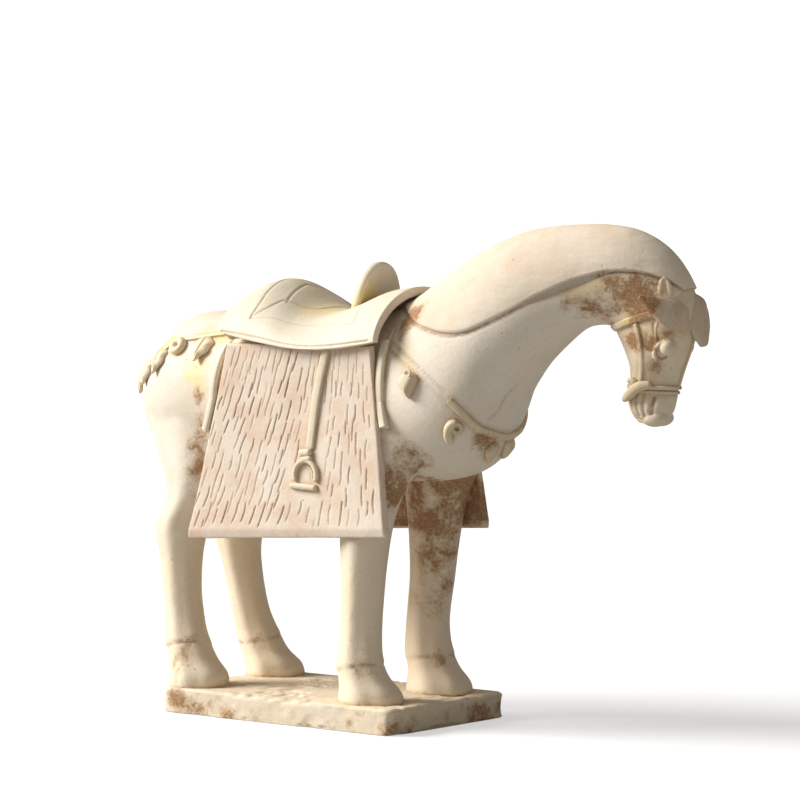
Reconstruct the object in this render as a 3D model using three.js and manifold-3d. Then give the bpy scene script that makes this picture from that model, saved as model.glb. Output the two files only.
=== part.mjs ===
// A straw-glazed pottery horse, fired in one with the slab it stands on.
// Millimetres, +Z up. +X is the way the horse faces and +Y its left side.
// The origin is the middle of the slab's underside.
import * as THREE from 'three';
import { mergeVertices } from 'three/addons/utils/BufferGeometryUtils.js';
import Module from 'manifold-3d';

const wasm = await Module();
wasm.setup();

// Driving dimensions
const FIGURE_HEIGHT = 282; // slab's top to the top of the arched neck
const SLAB_LENGTH = 0.654 * FIGURE_HEIGHT;
const SLAB_WIDTH = 0.4 * FIGURE_HEIGHT;
const SLAB_THICKNESS = 16;
const SLAB_CORNER = 5; // rounding of its upright corners
const SLAB_EDGE = 1.6; // worn bevel round its top and bottom
const SLAB_AHEAD = 1; // middle of the slab, ahead of the middle of the barrel
const HEAD_TURN = 14; // degrees that the head is turned to the horse's left
const MANE_RAISE = 2;
const BLANKET_THICKNESS = 4;
const PANEL_THICKNESS = 6;
const PAD_THICKNESS = 5;
const STRAP_WIDTH = 4.4;
const STRAP_RAISE = 1.5;
const STIRRUP_HEIGHT = 18.5; // from the buckle to the tread
const STIRRUP_WIDTH = 17;
const SUNK = 1.6; // depth that applied clay is pressed into the clay under it

// The figure is given in millimetres of a horse of this height, and keeps its proportions at any other.
const MODELLED_HEIGHT = 282;
const SCALE = FIGURE_HEIGHT / MODELLED_HEIGHT;

// Rings of the trunk, neck and head, from the tail to the lips, seen from the side with the neck straight:
// [x, z] on the back, [x, z] on the belly, half-width, and how much narrower the back's side is.
const TRUNK = [
  [-139, 190, -137, 168, 9, 0],
  [-134.5, 205, -128, 147, 25, 0],
  [-123.5, 218, -114, 135, 37, 0.02],
  [-106.5, 227.2, -97, 129, 43.5, 0.04],
  [-87, 230.8, -83, 128, 46, 0.05],
  [-56, 230.5, -56, 129, 46.5, 0.05],
  [-20, 227, -20, 128, 46.5, 0.05],
  [20, 226, 24, 128, 46.5, 0.05],
  [50, 230, 64, 129, 45.5, 0.06],
  [72, 237.5, 99, 132, 43.5, 0.1],
  [95, 251.5, 119.5, 140, 41.5, 0.14],
  [118, 265, 130.5, 154.5, 38.5, 0.16],
  [141.5, 275, 136.7, 171.5, 34.5, 0.16],
  [160, 279, 145.5, 185.5, 31, 0.16],
  [179, 280.5, 156, 198.5, 27.5, 0.14],
  [198, 280.2, 171, 212, 24.5, 0.12],
  [216.5, 277, 183.5, 221, 22.5, 0.1],
  [232, 268.3, 194, 223.5, 21, 0.08],
  [243, 256, 202, 222.5, 19.5, 0.05],
  [249.5, 243.5, 204.5, 218, 19.3, 0],
  [251.5, 232, 207, 213, 19.3, -0.05],
  [250.8, 220, 209.5, 207, 18, -0.08],
  [248, 210, 211.5, 201, 16, -0.08],
  [244, 199, 212, 195.5, 13.2, -0.05],
  [240.7, 188.5, 211.5, 189, 11.4, 0],
  [239, 180, 210.5, 181.5, 11.4, 0],
  [236.5, 173, 212.5, 174, 10.6, 0],
  [231, 167, 217, 168, 7.5, 0],
];
const TRUNK_SIDES = 20;

// Share of each ring's depth that the roached mane covers, from the withers to the poll.
const MANE_START = 8.8;
const MANE_END = 18.9;
const MANE_DEPTH = [0.02, 0.24, 0.4, 0.476, 0.5, 0.48, 0.455, 0.42, 0.33, 0.19, 0.05];

// Rings of a leg from the top down: height, x, y, half-length, half-breadth.
const HIND_LEG = [
  [186, -88.5, 21, 36, 20],
  [170, -87, 23.5, 37, 20],
  [152, -82.5, 26.5, 34, 19.6],
  [136, -79.5, 28.5, 28.5, 18.6],
  [125, -80.5, 28.5, 23.5, 17.6],
  [114, -84.5, 28, 20.4, 16.6],
  [98, -96.5, 27, 18, 14.8],
  [88, -98, 27, 16.5, 13.6],
  [76, -97.2, 27.6, 13.8, 12.3],
  [58, -94.8, 29.5, 12.4, 11.4],
  [43, -91.9, 30.6, 12.4, 11.4],
  [33, -89.7, 32, 13.5, 12.2],
  [24, -86.5, 33, 14.6, 13.2],
  [15, -82, 33.6, 16, 14.4],
  [7, -76.4, 35.2, 18.6, 17.4],
  [0, -75.6, 36, 19.4, 18.6],
];
const FORE_LEG = [
  [172, 67.7, 22, 36, 20],
  [155, 65.7, 26, 33, 20],
  [138, 62.7, 29.5, 27, 18.8],
  [122, 59.2, 32, 20.6, 16.8],
  [106, 56.7, 33.2, 17, 15.2],
  [87, 55.1, 33.4, 14.8, 13.6],
  [69, 53.9, 33.3, 13.6, 12.6],
  [51, 52.1, 32.4, 13, 12.1],
  [38, 51.1, 32.3, 13.2, 12.3],
  [24, 51.2, 33.4, 14.6, 13.2],
  [14, 54.8, 33.7, 15.8, 14.2],
  [6, 59, 33.3, 19.2, 17.2],
  [0, 59.7, 33, 20.6, 18.4],
];
const LEFT_FORE_GIRTH = 1.05; // against the right one
const LEG_SIDES = 10;

const SIDES = [-1, 1]; // the horse's right and left
const X = new THREE.Vector3(1, 0, 0);
const Y = new THREE.Vector3(0, 1, 0);
const Z = new THREE.Vector3(0, 0, 1);

// Value of a table at a fractional row, on a smooth curve through its rows.
function smoothRow(rows, at) {
  const last = rows.length - 1;
  const i = Math.min(Math.max(Math.floor(at), 0), last - 1);
  const t = at - i;
  const [a, b, c, d] = [i - 1, i, i + 1, i + 2].map((k) => rows[Math.min(Math.max(k, 0), last)]);
  return b.map((_, k) => THREE.MathUtils.lerp(b[k], c[k], t)
    + 0.5 * t * (1 - t) * ((c[k] - a[k] - 2 * (c[k] - b[k])) * (1 - t) - (d[k] - b[k] - 2 * (c[k] - b[k])) * t));
}

// Turns the neck and head: a point of the straight figure, in its own millimetres, goes to its place.
const TURN_START = 60;
const TURN_END = 205;
const TURN_STEPS = 24;
function turned(x, y, z) {
  const headingAt = (at) => THREE.MathUtils.degToRad(HEAD_TURN) * THREE.MathUtils.smoothstep(at, TURN_START, TURN_END);
  const heading = headingAt(x);
  let px = Math.min(x, TURN_START);
  let py = 0;
  const step = Math.max(x - TURN_START, 0) / TURN_STEPS;
  for (let i = 0; i < TURN_STEPS; i += 1) {
    const along = headingAt(TURN_START + (i + 0.5) * step);
    px += step * Math.cos(along);
    py += step * Math.sin(along);
  }
  return new THREE.Vector3(px - y * Math.sin(heading), py + y * Math.cos(heading), z)
    .multiplyScalar(SCALE)
    .add(new THREE.Vector3(0, 0, SLAB_THICKNESS));
}

// Point on the straight figure's skin: ring along the trunk, angle from the back (positive to the left), lift off it.
function skinPoint(ring, angle, lift = 0) {
  const [bx, bz, lx, lz, half, pinch] = smoothRow(TRUNK, ring);
  const depth = new THREE.Vector2(bx - lx, bz - lz);
  const reach = depth.length() / 2;
  depth.normalize();
  const c = Math.cos(angle);
  const s = Math.sin(angle);
  const wide = half * (1 - pinch * c);
  const out = new THREE.Vector2(c / reach, s / wide).normalize();
  const up = reach * c + out.x * lift;
  return [(bx + lx) / 2 + depth.x * up, wide * s + out.y * lift, (bz + lz) / 2 + depth.y * up];
}

const onSkin = (ring, degrees, lift = 0) => turned(...skinPoint(ring, THREE.MathUtils.degToRad(degrees), lift));

// Outward direction of the skin at a place.
function skinNormal(ring, degrees) {
  const step = 2;
  const along = onSkin(ring + 0.1, degrees).sub(onSkin(ring - 0.1, degrees));
  const round = onSkin(ring, degrees + step).sub(onSkin(ring, degrees - step));
  return round.cross(along).normalize();
}

// Closed surface through rings of points, with a middle point closing each end.
function loft(rings) {
  const count = rings[0].length;
  const points = rings.flat();
  const middle = (ring) => ring.reduce((sum, p) => sum.add(p), new THREE.Vector3()).divideScalar(count);
  points.push(middle(rings[0]), middle(rings.at(-1)));
  const faces = [];
  const end = (rings.length - 1) * count;
  for (let i = 0; i < count; i += 1) {
    const j = (i + 1) % count;
    for (let r = 0; r < end; r += count) faces.push(r + i, r + j, r + count + j, r + i, r + count + j, r + count + i);
    faces.push(points.length - 2, j, i, points.length - 1, end + i, end + j);
  }
  const geometry = new THREE.BufferGeometry().setFromPoints(points);
  geometry.setIndex(faces);
  return solid(geometry);
}

// Manifold solid of a closed geometry, turned inside out if its faces point in.
function solid(geometry) {
  const bare = geometry.clone();
  bare.deleteAttribute('normal');
  bare.deleteAttribute('uv');
  const merged = mergeVertices(bare, 1e-4);
  const vertProperties = new Float32Array(merged.attributes.position.array);
  const triVerts = new Uint32Array(merged.index.array);
  let volume = 0;
  const corner = (i) => new THREE.Vector3().fromArray(vertProperties, 3 * triVerts[i]);
  for (let i = 0; i < triVerts.length; i += 3) volume += corner(i).dot(corner(i + 1).cross(corner(i + 2)));
  if (volume < 0) for (let i = 0; i < triVerts.length; i += 3) triVerts.subarray(i, i + 2).reverse();
  return new wasm.Manifold(new wasm.Mesh({ numProp: 3, vertProperties, triVerts }));
}

const range = (count) => Array.from({ length: count }, (_, i) => i);
const joined = (solids) => solids.reduce((all, one) => all.add(one));

// Ellipsoid with its long axis along a direction.
function pebble(at, radii, direction = Z, detail = [8, 5]) {
  const ball = new THREE.SphereGeometry(1, ...detail);
  ball.scale(...radii);
  ball.applyQuaternion(new THREE.Quaternion().setFromUnitVectors(Z, direction.clone().normalize()));
  ball.translate(at.x, at.y, at.z);
  return solid(ball);
}

// Strip of clay along a path, sunk in what it lies on and a little narrower on top.
function ribbon(path, normals, widths, raise, sunk = SUNK) {
  const rings = path.map((p, k) => {
    const ahead = path[Math.min(k + 1, path.length - 1)].clone().sub(path[Math.max(k - 1, 0)]).normalize();
    const side = normals[k].clone().cross(ahead).normalize();
    const up = ahead.cross(side).normalize();
    const at = (across, rise) => p.clone().addScaledVector(side, across * widths[k]).addScaledVector(up, rise);
    return [at(0.4, raise), at(-0.4, raise), at(-0.5, -sunk), at(0.5, -sunk)];
  });
  return loft(rings);
}

// Strip laid on the figure's skin through [ring, degrees] places.
function skinRibbon(places, steps, width = STRAP_WIDTH, raise = STRAP_RAISE) {
  const spots = range(steps + 1).map((i) => smoothRow(places, (i * (places.length - 1)) / steps));
  const path = spots.map(([ring, degrees]) => onSkin(ring, degrees));
  return ribbon(path, spots.map(([ring, degrees]) => skinNormal(ring, degrees)), spots.map(() => width), raise);
}

const BARREL_END = 11; // rings beyond it, on the neck and head, are halved
function trunk() {
  const barrel = range(BARREL_END);
  const rest = range(2 * (TRUNK.length - 1 - BARREL_END) + 1).map((i) => BARREL_END + i / 2);
  return loft([...barrel, ...rest].map((ring) => range(TRUNK_SIDES).map((i) => onSkin(ring, (360 * i) / TRUNK_SIDES))));
}

function leg(rows, side) {
  const girth = rows === FORE_LEG && side > 0 ? LEFT_FORE_GIRTH : 1;
  const rings = rows.map(([z, x, y, long, broad]) => range(LEG_SIDES).map((i) => {
    const a = (2 * Math.PI * i) / LEG_SIDES;
    return turned(x + girth * long * Math.cos(a), side * y + girth * broad * Math.sin(a), z);
  }));
  const foot = rings.at(-1).map((p) => p.clone().setZ(SLAB_THICKNESS - SUNK));
  return loft([...rings, foot]);
}

function mane() {
  const steps = 13;
  const across = 5;
  const rings = range(steps + 1).map((k) => {
    const share = k / steps;
    const ring = THREE.MathUtils.lerp(MANE_START, MANE_END, share);
    const [depth] = smoothRow(MANE_DEPTH.map((d) => [d]), share * (MANE_DEPTH.length - 1));
    const edge = THREE.MathUtils.radToDeg(Math.acos(1 - 2 * depth));
    const top = range(across + 1).map((i) => onSkin(ring, edge * ((2 * i) / across - 1), MANE_RAISE));
    const under = range(across + 1).map((i) => onSkin(ring, edge * (1 - (2 * i) / across), -SUNK));
    return [...top, ...under];
  });
  return loft(rings);
}

function ears() {
  const height = 15;
  return joined(SIDES.map((side) => {
    const rings = [[0, 4.6, 4], [0.3, 5.4, 4.4], [0.6, 4.6, 3.6], [0.85, 2.6, 2.2], [1, 0.8, 0.8]]
      .map(([share, long, broad]) => range(6).map((i) => {
        const a = (Math.PI * i) / 3;
        return turned(237 + long * Math.cos(a), side * (13 + 1.5 * share) + broad * Math.sin(a), 237 + height * share);
      }));
    const hollow = pebble(turned(238.6, side * 18, 244.5), [1.6, 2.6, 5].map((r) => r * SCALE));
    return loft(rings).subtract(hollow);
  }));
}

// Two leaf-shaped locks parted on the forehead: [x, y, z, width] of the middle line.
const RIGHT_LOCK = [[225.7, -25.5, 239.7, 2.5], [231.3, -23.5, 236.6, 8], [238.3, -20.5, 232.6, 13.5],
  [244.6, -16, 227.9, 17], [248, -9.4, 221.5, 6]];
const LEFT_LOCK = [[245, -1, 240.9, 9], [249.2, -1.8, 235.7, 17.5], [252.3, -1, 227.8, 15.5], [253.9, 0, 219.7, 12],
  [255.6, 1, 211.4, 3.5]];
function forelock() {
  const steps = 6;
  const thick = 1.7;
  return joined([RIGHT_LOCK, LEFT_LOCK].map((lock, i) => {
    const rows = range(steps + 1).map((k) => smoothRow(lock, (k * (lock.length - 1)) / steps));
    const out = i === 0 ? new THREE.Vector3(0.62, -0.74, 0.3) : new THREE.Vector3(0.82, -0.42, 0.38);
    const path = rows.map(([x, y, z]) => turned(x, y, z));
    return ribbon(path, path.map(() => out), rows.map((row) => row[3] * SCALE), thick, thick);
  }));
}

function eyesAndNostrils(body) {
  const eye = (side) => pebble(turned(239, side * 15.6, 211), [4.6, 3.2, 5.2].map((r) => r * SCALE));
  const nostril = (side) => pebble(turned(229.5, side * 12, 174), [1.6, 2.2, 4.4].map((r) => r * SCALE));
  return body.add(joined(SIDES.map(eye))).subtract(joined(SIDES.map(nostril)));
}

// Bridle: noseband, throat lash and the cheekpieces of the bit.
function bridle() {
  const mirrored = (places) => [...places, ...places.slice(0, -1).reverse().map(([ring, a]) => [ring, 360 - a])];
  const noseband = skinRibbon(range(5).map((i) => [24.05, 5 + 87.5 * i]), 8, 4.2, 1.4);
  const throat = skinRibbon(mirrored([[19.5, 62], [19.2, 90], [18.7, 130], [18.1, 180]]), 10, 4, 1.5);
  const bits = SIDES.map((side) => {
    const rows = [[211.5, 8, 181.5], [215, 12, 183.5], [221, 13.5, 188.5], [229, 12.5, 190]];
    const path = range(7).map((i) => turned(...smoothRow(rows, i / 2).map((v, k) => (k === 1 ? side * v : v))));
    const widths = [3, 4.6, 5.4, 5.6, 5.4, 4.6, 3];
    return ribbon(path, path.map(() => new THREE.Vector3(0, side, 0)), widths.map((w) => w * SCALE), 2.2, 3);
  });
  return joined([noseband, throat, ...bits]);
}

// Curved sheet: a grid of points from one function, given a thickness towards the horse by another.
function sheet(pointAt, thickness, columns, rows) {
  const normalAt = (u, v) => {
    const e = 0.01;
    return pointAt(u + e, v).sub(pointAt(u - e, v)).cross(pointAt(u, v + e).sub(pointAt(u, v - e))).normalize();
  };
  const rings = range(columns + 1).map((i) => {
    const u = i / columns;
    const outer = range(rows + 1).map((j) => pointAt(u, j / rows));
    const inner = range(rows + 1).map((j) => {
      const v = 1 - j / rows;
      return pointAt(u, v).addScaledVector(normalAt(u, v), -thickness(u, v) * SCALE);
    });
    return [...outer, ...inner];
  });
  return loft(rings);
}

// Arch over the back at one place along it: v runs from 0, the right hem, over the back to 1, the left hem.
function archPoint(x, v, half, top, hem, fullness) {
  const a = Math.PI * (v - 0.5);
  const c = Math.max(Math.cos(a), 0) ** fullness;
  return turned(x, half * Math.sin(a), hem + (top - hem) * c);
}

// Saddle pad, from the back to the front: x on the back, x at the hem, half-breadth, top, hem.
const PAD = [
  [-53, -44, 51.5, 238.2, 218.5],
  [-43, -34, 52, 246.8, 216],
  [-29, -19, 52.5, 250.8, 213.3],
  [-14, -3, 53, 245, 211],
  [2, 14, 53, 234.6, 209],
  [18, 31, 53, 231.6, 208.5],
  [38, 47, 52.5, 236.5, 209.3],
  [57, 63, 51.5, 243.5, 211.2],
  [73.4, 75.4, 50.5, 245.7, 213.2],
];
const PAD_SLACK = 1.3; // how late its flanks rise from the hem to the back; 1 is a round arch
const PAD_FILL = 14; // depth of clay under the pad where it lies on the horse
function saddlePad() {
  const pointAt = (u, v) => {
    const [ridge, hemX, half, top, hem] = smoothRow(PAD, u * (PAD.length - 1));
    const down = Math.abs(2 * v - 1) ** 2;
    return archPoint(THREE.MathUtils.lerp(ridge, hemX, down), v, half, top, hem, PAD_SLACK);
  };
  const thickness = (u) => THREE.MathUtils.lerp(PAD_FILL, PAD_THICKNESS, THREE.MathUtils.smoothstep(u, 0.62, 0.92));
  return sheet(pointAt, thickness, 8, 10);
}

function pommel() {
  const outline = new THREE.Shape();
  outline.moveTo(-21, -8);
  outline.bezierCurveTo(-22, 6, -16, 26, 0, 26);
  outline.bezierCurveTo(16, 26, 22, 6, 21, -8);
  outline.closePath();
  const plate = new THREE.ExtrudeGeometry(outline, { depth: 3, bevelThickness: 1.6, bevelSize: 1.6, bevelSegments: 2,
    bevelOffset: -1.6, curveSegments: 7 });
  plate.translate(0, 0, -1.5);
  plate.applyMatrix4(new THREE.Matrix4().makeBasis(Y, Z, X));
  plate.rotateY(THREE.MathUtils.degToRad(8));
  plate.scale(SCALE, SCALE, SCALE);
  const foot = turned(37, 0, 235);
  plate.translate(foot.x, foot.y, foot.z);
  return solid(plate);
}

// Blanket under the pad: x on the back, x at the hem, half-breadth, top, hem; it hangs straight below the girth.
const BLANKET = [[-50, -60, 45.5, 226, 157], [-5, -12, 45, 223, 159], [40, 36, 44.5, 226, 161], [74, 82, 42.5, 232, 163]];
const BLANKET_GIRTH = 178;
const BLANKET_SKIRT = 0.16; // share of its breadth that hangs on each side
function blanket() {
  const hanging = (v) => Math.max(BLANKET_SKIRT - v, v - 1 + BLANKET_SKIRT, 0) / BLANKET_SKIRT;
  const pointAt = (u, v) => {
    const [ridge, hemX, half, top, hem] = smoothRow(BLANKET, u * (BLANKET.length - 1));
    const over = THREE.MathUtils.clamp((v - BLANKET_SKIRT) / (1 - 2 * BLANKET_SKIRT), 0, 1);
    const x = THREE.MathUtils.lerp(ridge, hemX, Math.abs(2 * v - 1) ** 2);
    const p = archPoint(x, over, half + 1 + 1.5 * hanging(v), top, BLANKET_GIRTH, 0.8);
    return p.setZ(p.z - hanging(v) * (BLANKET_GIRTH - hem) * SCALE);
  };
  return sheet(pointAt, (u, v) => BLANKET_THICKNESS * (hanging(v) > 0 ? 1 : 2.4), 3, 14);
}

// Corners of the stiff fur panel on each side, seen from the side: [x, distance from the middle, z].
const PANEL_TOP_BACK = [-40.3, 48.5, 211];
const PANEL_TOP_FRONT = [70, 47.5, 211];
const PANEL_LOW_BACK = [-69, 54.5, 91.5];
const PANEL_LOW_FRONT = [84.5, 53, 99];
const PANEL_FLARE = 1.7; // how late the panel leans out on its way down
function panelPoint(u, v, side, lift = 0) {
  const [x, , z] = range(3).map((k) => THREE.MathUtils.lerp(
    THREE.MathUtils.lerp(PANEL_LOW_BACK[k], PANEL_LOW_FRONT[k], u),
    THREE.MathUtils.lerp(PANEL_TOP_BACK[k], PANEL_TOP_FRONT[k], u), v));
  const low = THREE.MathUtils.lerp(PANEL_LOW_BACK[1], PANEL_LOW_FRONT[1], u);
  const top = THREE.MathUtils.lerp(PANEL_TOP_BACK[1], PANEL_TOP_FRONT[1], u);
  return turned(x, side * (top + (low - top) * Math.max(1 - v, 0) ** PANEL_FLARE + lift), z);
}
function panel(side) {
  const bevelled = (u, v) => panelPoint(u, v, side, -1.6 * (1 - THREE.MathUtils.smoothstep(v, 0, 0.03)));
  return sheet(bevelled, () => -PANEL_THICKNESS * side, 4, 6);
}

// Stirrup on its leather, pressed flat on the panel: places on the panel along and up it.
const LEATHER = [[0.71, 0.985], [0.65, 0.735], [0.62, 0.46]];
const STIRRUP_AT = [0.6, 0.43];
function stirrup(side) {
  const out = new THREE.Vector3(0, side, 0);
  const strap = LEATHER.map(([u, v]) => panelPoint(u, v, side));
  const leather = ribbon(strap, strap.map(() => out), strap.map(() => 5.6 * SCALE), 1.6);
  const top = panelPoint(...STIRRUP_AT, side);
  const wide = 0.5 * STIRRUP_WIDTH;
  const arch = range(9).map((i) => {
    const a = Math.PI * (0.5 + (i / 8 - 0.5) * 1.3);
    return top.clone().add(new THREE.Vector3(-wide * Math.cos(a), 1.2 * side, wide * (Math.sin(a) - 1) - 3)
      .multiplyScalar(SCALE));
  });
  const bow = ribbon(arch, arch.map(() => out), arch.map(() => 3.8 * SCALE), 1.6, 3);
  const tread = [-1.1 * wide, 0, 1.1 * wide].map((x) => top.clone()
    .add(new THREE.Vector3(x, 1.2 * side, -STIRRUP_HEIGHT).multiplyScalar(SCALE)));
  const bar = ribbon(tread, tread.map(() => out), tread.map(() => 5 * SCALE), 2.4, 3);
  const buckle = pebble(top, [5.4, 3, 4.6].map((r) => r * SCALE), Z, [8, 6]);
  return joined([leather, bow, bar, buckle]);
}

// Frame of a thing hung on the skin at a place: across, up the skin and out of it, turned by some degrees.
function placeOnSkin(ring, degrees, turn = 0) {
  const out = skinNormal(ring, degrees);
  const up = Z.clone().addScaledVector(out, -out.z).normalize().applyAxisAngle(out, THREE.MathUtils.degToRad(turn));
  const frame = new THREE.Matrix4().makeBasis(up.clone().cross(out), up, out);
  return frame.setPosition(onSkin(ring, degrees)).scale(new THREE.Vector3(SCALE, SCALE, SCALE));
}

// Leaf with lobed edges, hanging from its stalk: a low pillow of clay.
const LEAF_SIDES = 8;
function leaf(length, breadth, ring, degrees, turn = 0, raise = 2.2) {
  const frame = placeOnSkin(ring, degrees, turn);
  const layer = (share, height) => range(LEAF_SIDES).map((i) => {
    const a = (2 * Math.PI * i) / LEAF_SIDES;
    const x = 0.5 * breadth * Math.sin(a) * (1 + 0.12 * Math.cos(4 * a));
    return new THREE.Vector3(share * x, 0.5 * length * (share * Math.cos(a) - 1), height).applyMatrix4(frame);
  });
  return loft([layer(1.05, -SUNK), layer(0.78, raise)]);
}

// Small clay ring, and a curved claw with its back to the horse's tail.
function smallRing(radius, thick, ring, degrees) {
  const torus = new THREE.TorusGeometry(radius - thick / 2, thick / 2, 4, 8);
  torus.translate(0, 0, 0.3 * thick);
  return solid(torus.applyMatrix4(placeOnSkin(ring, degrees)));
}
function claw(ring, degrees) {
  const frame = placeOnSkin(ring, degrees);
  const out = new THREE.Vector3(0, 0, 1).transformDirection(frame);
  const steps = 7;
  const path = range(steps + 1).map((i) => {
    const a = THREE.MathUtils.degToRad(70 + (168 * i) / steps);
    return new THREE.Vector3(5.6 * Math.cos(a) - 1, 6.8 * Math.sin(a) - 0.5, 0).applyMatrix4(frame);
  });
  const widths = range(steps + 1).map((i) => (3.2 + 2.4 * Math.sin((Math.PI * i) / steps)) * SCALE);
  return ribbon(path, path.map(() => out), widths, 3);
}

// Breast strap: its right-hand end is broken off, and the rest runs round the chest to the left.
const BREAST_BREAK = [[10.4, -112], [10.67, -126], [10.94, -146], [11.14, -160], [11.2, -178]];
const BREAST_LEFT = [[11.14, -200], [10.94, -214], [10.67, -234], [10.3, -252], [9.73, -273], [9.35, -286], [8.9, -302]];
function breastStrap() {
  const pendants = [
    leaf(16, 9.5, 10.98, -165, 4),
    leaf(14, 10, 11.1, -188, -12),
    smallRing(4, 2.6, 10.32, -130),
    claw(10.2, -131),
    leaf(14.5, 10, 9.33, -80, 8, 4.2),
    ...[[10.6, -237], [10.05, -262], [9.5, -282]].map(([ring, degrees]) => leaf(14, 10, ring, degrees)),
  ];
  return joined([skinRibbon([...BREAST_BREAK, ...BREAST_LEFT], 12), ...pendants]);
}

// Crupper: one strap each side from the saddle round the rump to the tail, with its pendants.
const CRUPPER = [[5.1, 42.5], [4.64, 46], [4.19, 48.5], [3.5, 50.7], [2.95, 56], [2.2, 59], [1.3, 58], [0.5, 48]];
const CRUPPER_LEAVES = [[4.62, 46, 19], [2.95, 52, 18], [2.2, 58, 15], [1.25, 59, 13]];
const CRUPPER_BOSS = [3.8, 55.5];
function crupper(side) {
  const leaves = CRUPPER_LEAVES.map(([ring, degrees, length]) => leaf(length, 12.5, ring, side * degrees));
  const boss = smallRing(6, 4, CRUPPER_BOSS[0], side * CRUPPER_BOSS[1]);
  return joined([skinRibbon(CRUPPER.map(([ring, degrees]) => [ring, side * degrees]), 7, 3.6), boss, ...leaves]);
}

// Short bound tail, lying close on the rump.
const TAIL = [[-124, 212, 6], [-135, 208, 7], [-142.5, 196, 7], [-144.5, 181, 6.6], [-142.5, 167, 5.6], [-137, 157, 3]];
function tail() {
  return loft(TAIL.map(([x, z, radius], k) => {
    const [ax, az] = TAIL[Math.max(k - 1, 0)];
    const [bx, bz] = TAIL[Math.min(k + 1, TAIL.length - 1)];
    const along = new THREE.Vector2(bx - ax, bz - az).normalize();
    return range(10).map((i) => {
      const a = (Math.PI * i) / 5;
      return turned(x - along.y * 0.8 * radius * Math.cos(a), radius * Math.sin(a), z + along.x * 0.8 * radius * Math.cos(a));
    });
  }));
}

function slab() {
  const [hx, hy, r] = [SLAB_LENGTH / 2, SLAB_WIDTH / 2, SLAB_CORNER];
  const outline = new THREE.Shape();
  outline.moveTo(r - hx, -hy).lineTo(hx - r, -hy).quadraticCurveTo(hx, -hy, hx, r - hy);
  outline.lineTo(hx, hy - r).quadraticCurveTo(hx, hy, hx - r, hy);
  outline.lineTo(r - hx, hy).quadraticCurveTo(-hx, hy, -hx, hy - r);
  outline.lineTo(-hx, r - hy).quadraticCurveTo(-hx, -hy, r - hx, -hy);
  const plate = new THREE.ExtrudeGeometry(outline, { depth: SLAB_THICKNESS - 2 * SLAB_EDGE, bevelThickness: SLAB_EDGE,
    bevelSize: SLAB_EDGE, bevelOffset: -SLAB_EDGE, bevelSegments: 1, curveSegments: 3 });
  plate.translate(SLAB_AHEAD * SCALE, 0, SLAB_EDGE);
  return solid(plate);
}

// The clay is one piece: closed hollows left between its layers are filled, and the outer skin is kept.
const legs = SIDES.flatMap((side) => [leg(HIND_LEG, side), leg(FORE_LEG, side)]);
const horse = eyesAndNostrils(joined([trunk(), ...legs, tail(), mane(), ears(), forelock(), bridle()]));
const caparison = joined([saddlePad(), pommel(), blanket(), breastStrap(),
  ...SIDES.flatMap((side) => [panel(side), stirrup(side), crupper(side)])]);
const clay = joined([slab(), horse, caparison]).decompose().reduce((a, b) => (a.volume() > b.volume() ? a : b));

const { vertProperties, triVerts } = clay.getMesh();
const geometry = new THREE.BufferGeometry();
geometry.setAttribute('position', new THREE.BufferAttribute(vertProperties, 3));
geometry.setIndex(new THREE.BufferAttribute(triVerts, 1));
geometry.computeBoundingBox();
const { min, max } = geometry.boundingBox;
geometry.translate(-(min.x + max.x) / 2, -(min.y + max.y) / 2, -min.z);
geometry.computeVertexNormals();
const glazed = new THREE.MeshStandardMaterial({ color: '#e6dac2', roughness: 0.7, metalness: 0 });
const figure = new THREE.Mesh(geometry, glazed);
figure.name = 'pottery_horse';
const group = new THREE.Group();
group.add(figure);
export default group;
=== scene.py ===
"""Straw-glazed pottery horse with saddle and harness, fired in one with the slab it stands on."""

import logging
import math
from dataclasses import dataclass
from enum import Enum
from typing import Callable, Sequence

import bmesh
import bpy
import numpy as np
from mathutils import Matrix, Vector
from mathutils.bvhtree import BVHTree


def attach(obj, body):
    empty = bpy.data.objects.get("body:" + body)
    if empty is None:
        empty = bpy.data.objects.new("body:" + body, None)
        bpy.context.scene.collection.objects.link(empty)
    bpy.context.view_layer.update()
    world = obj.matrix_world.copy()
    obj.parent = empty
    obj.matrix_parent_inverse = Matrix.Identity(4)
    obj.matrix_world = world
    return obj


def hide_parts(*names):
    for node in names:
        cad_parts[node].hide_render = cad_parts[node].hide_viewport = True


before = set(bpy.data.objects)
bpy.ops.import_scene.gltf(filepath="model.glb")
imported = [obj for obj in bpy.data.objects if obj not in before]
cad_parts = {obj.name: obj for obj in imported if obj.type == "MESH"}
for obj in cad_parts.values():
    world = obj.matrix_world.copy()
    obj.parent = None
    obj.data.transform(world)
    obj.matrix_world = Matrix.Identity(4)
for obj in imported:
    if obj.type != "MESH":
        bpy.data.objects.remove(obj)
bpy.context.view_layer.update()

LOG = logging.getLogger("pottery_horse")
Array = np.ndarray
Surface = Callable[[Array, Array], Array]

NODE = "pottery_horse"
MM = 0.001
FIGURE_HEIGHT = 282.0  # slab's top to the top of the arched neck, mm
SLAB_THICKNESS = 16.0
FRAME_SHIFT = -52.271  # the figure's own origin, along X in the part's frame, mm
PATCH_SHIFT = -1.1  # moves the listed spots of earth and glaze along X into place, mm

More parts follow.
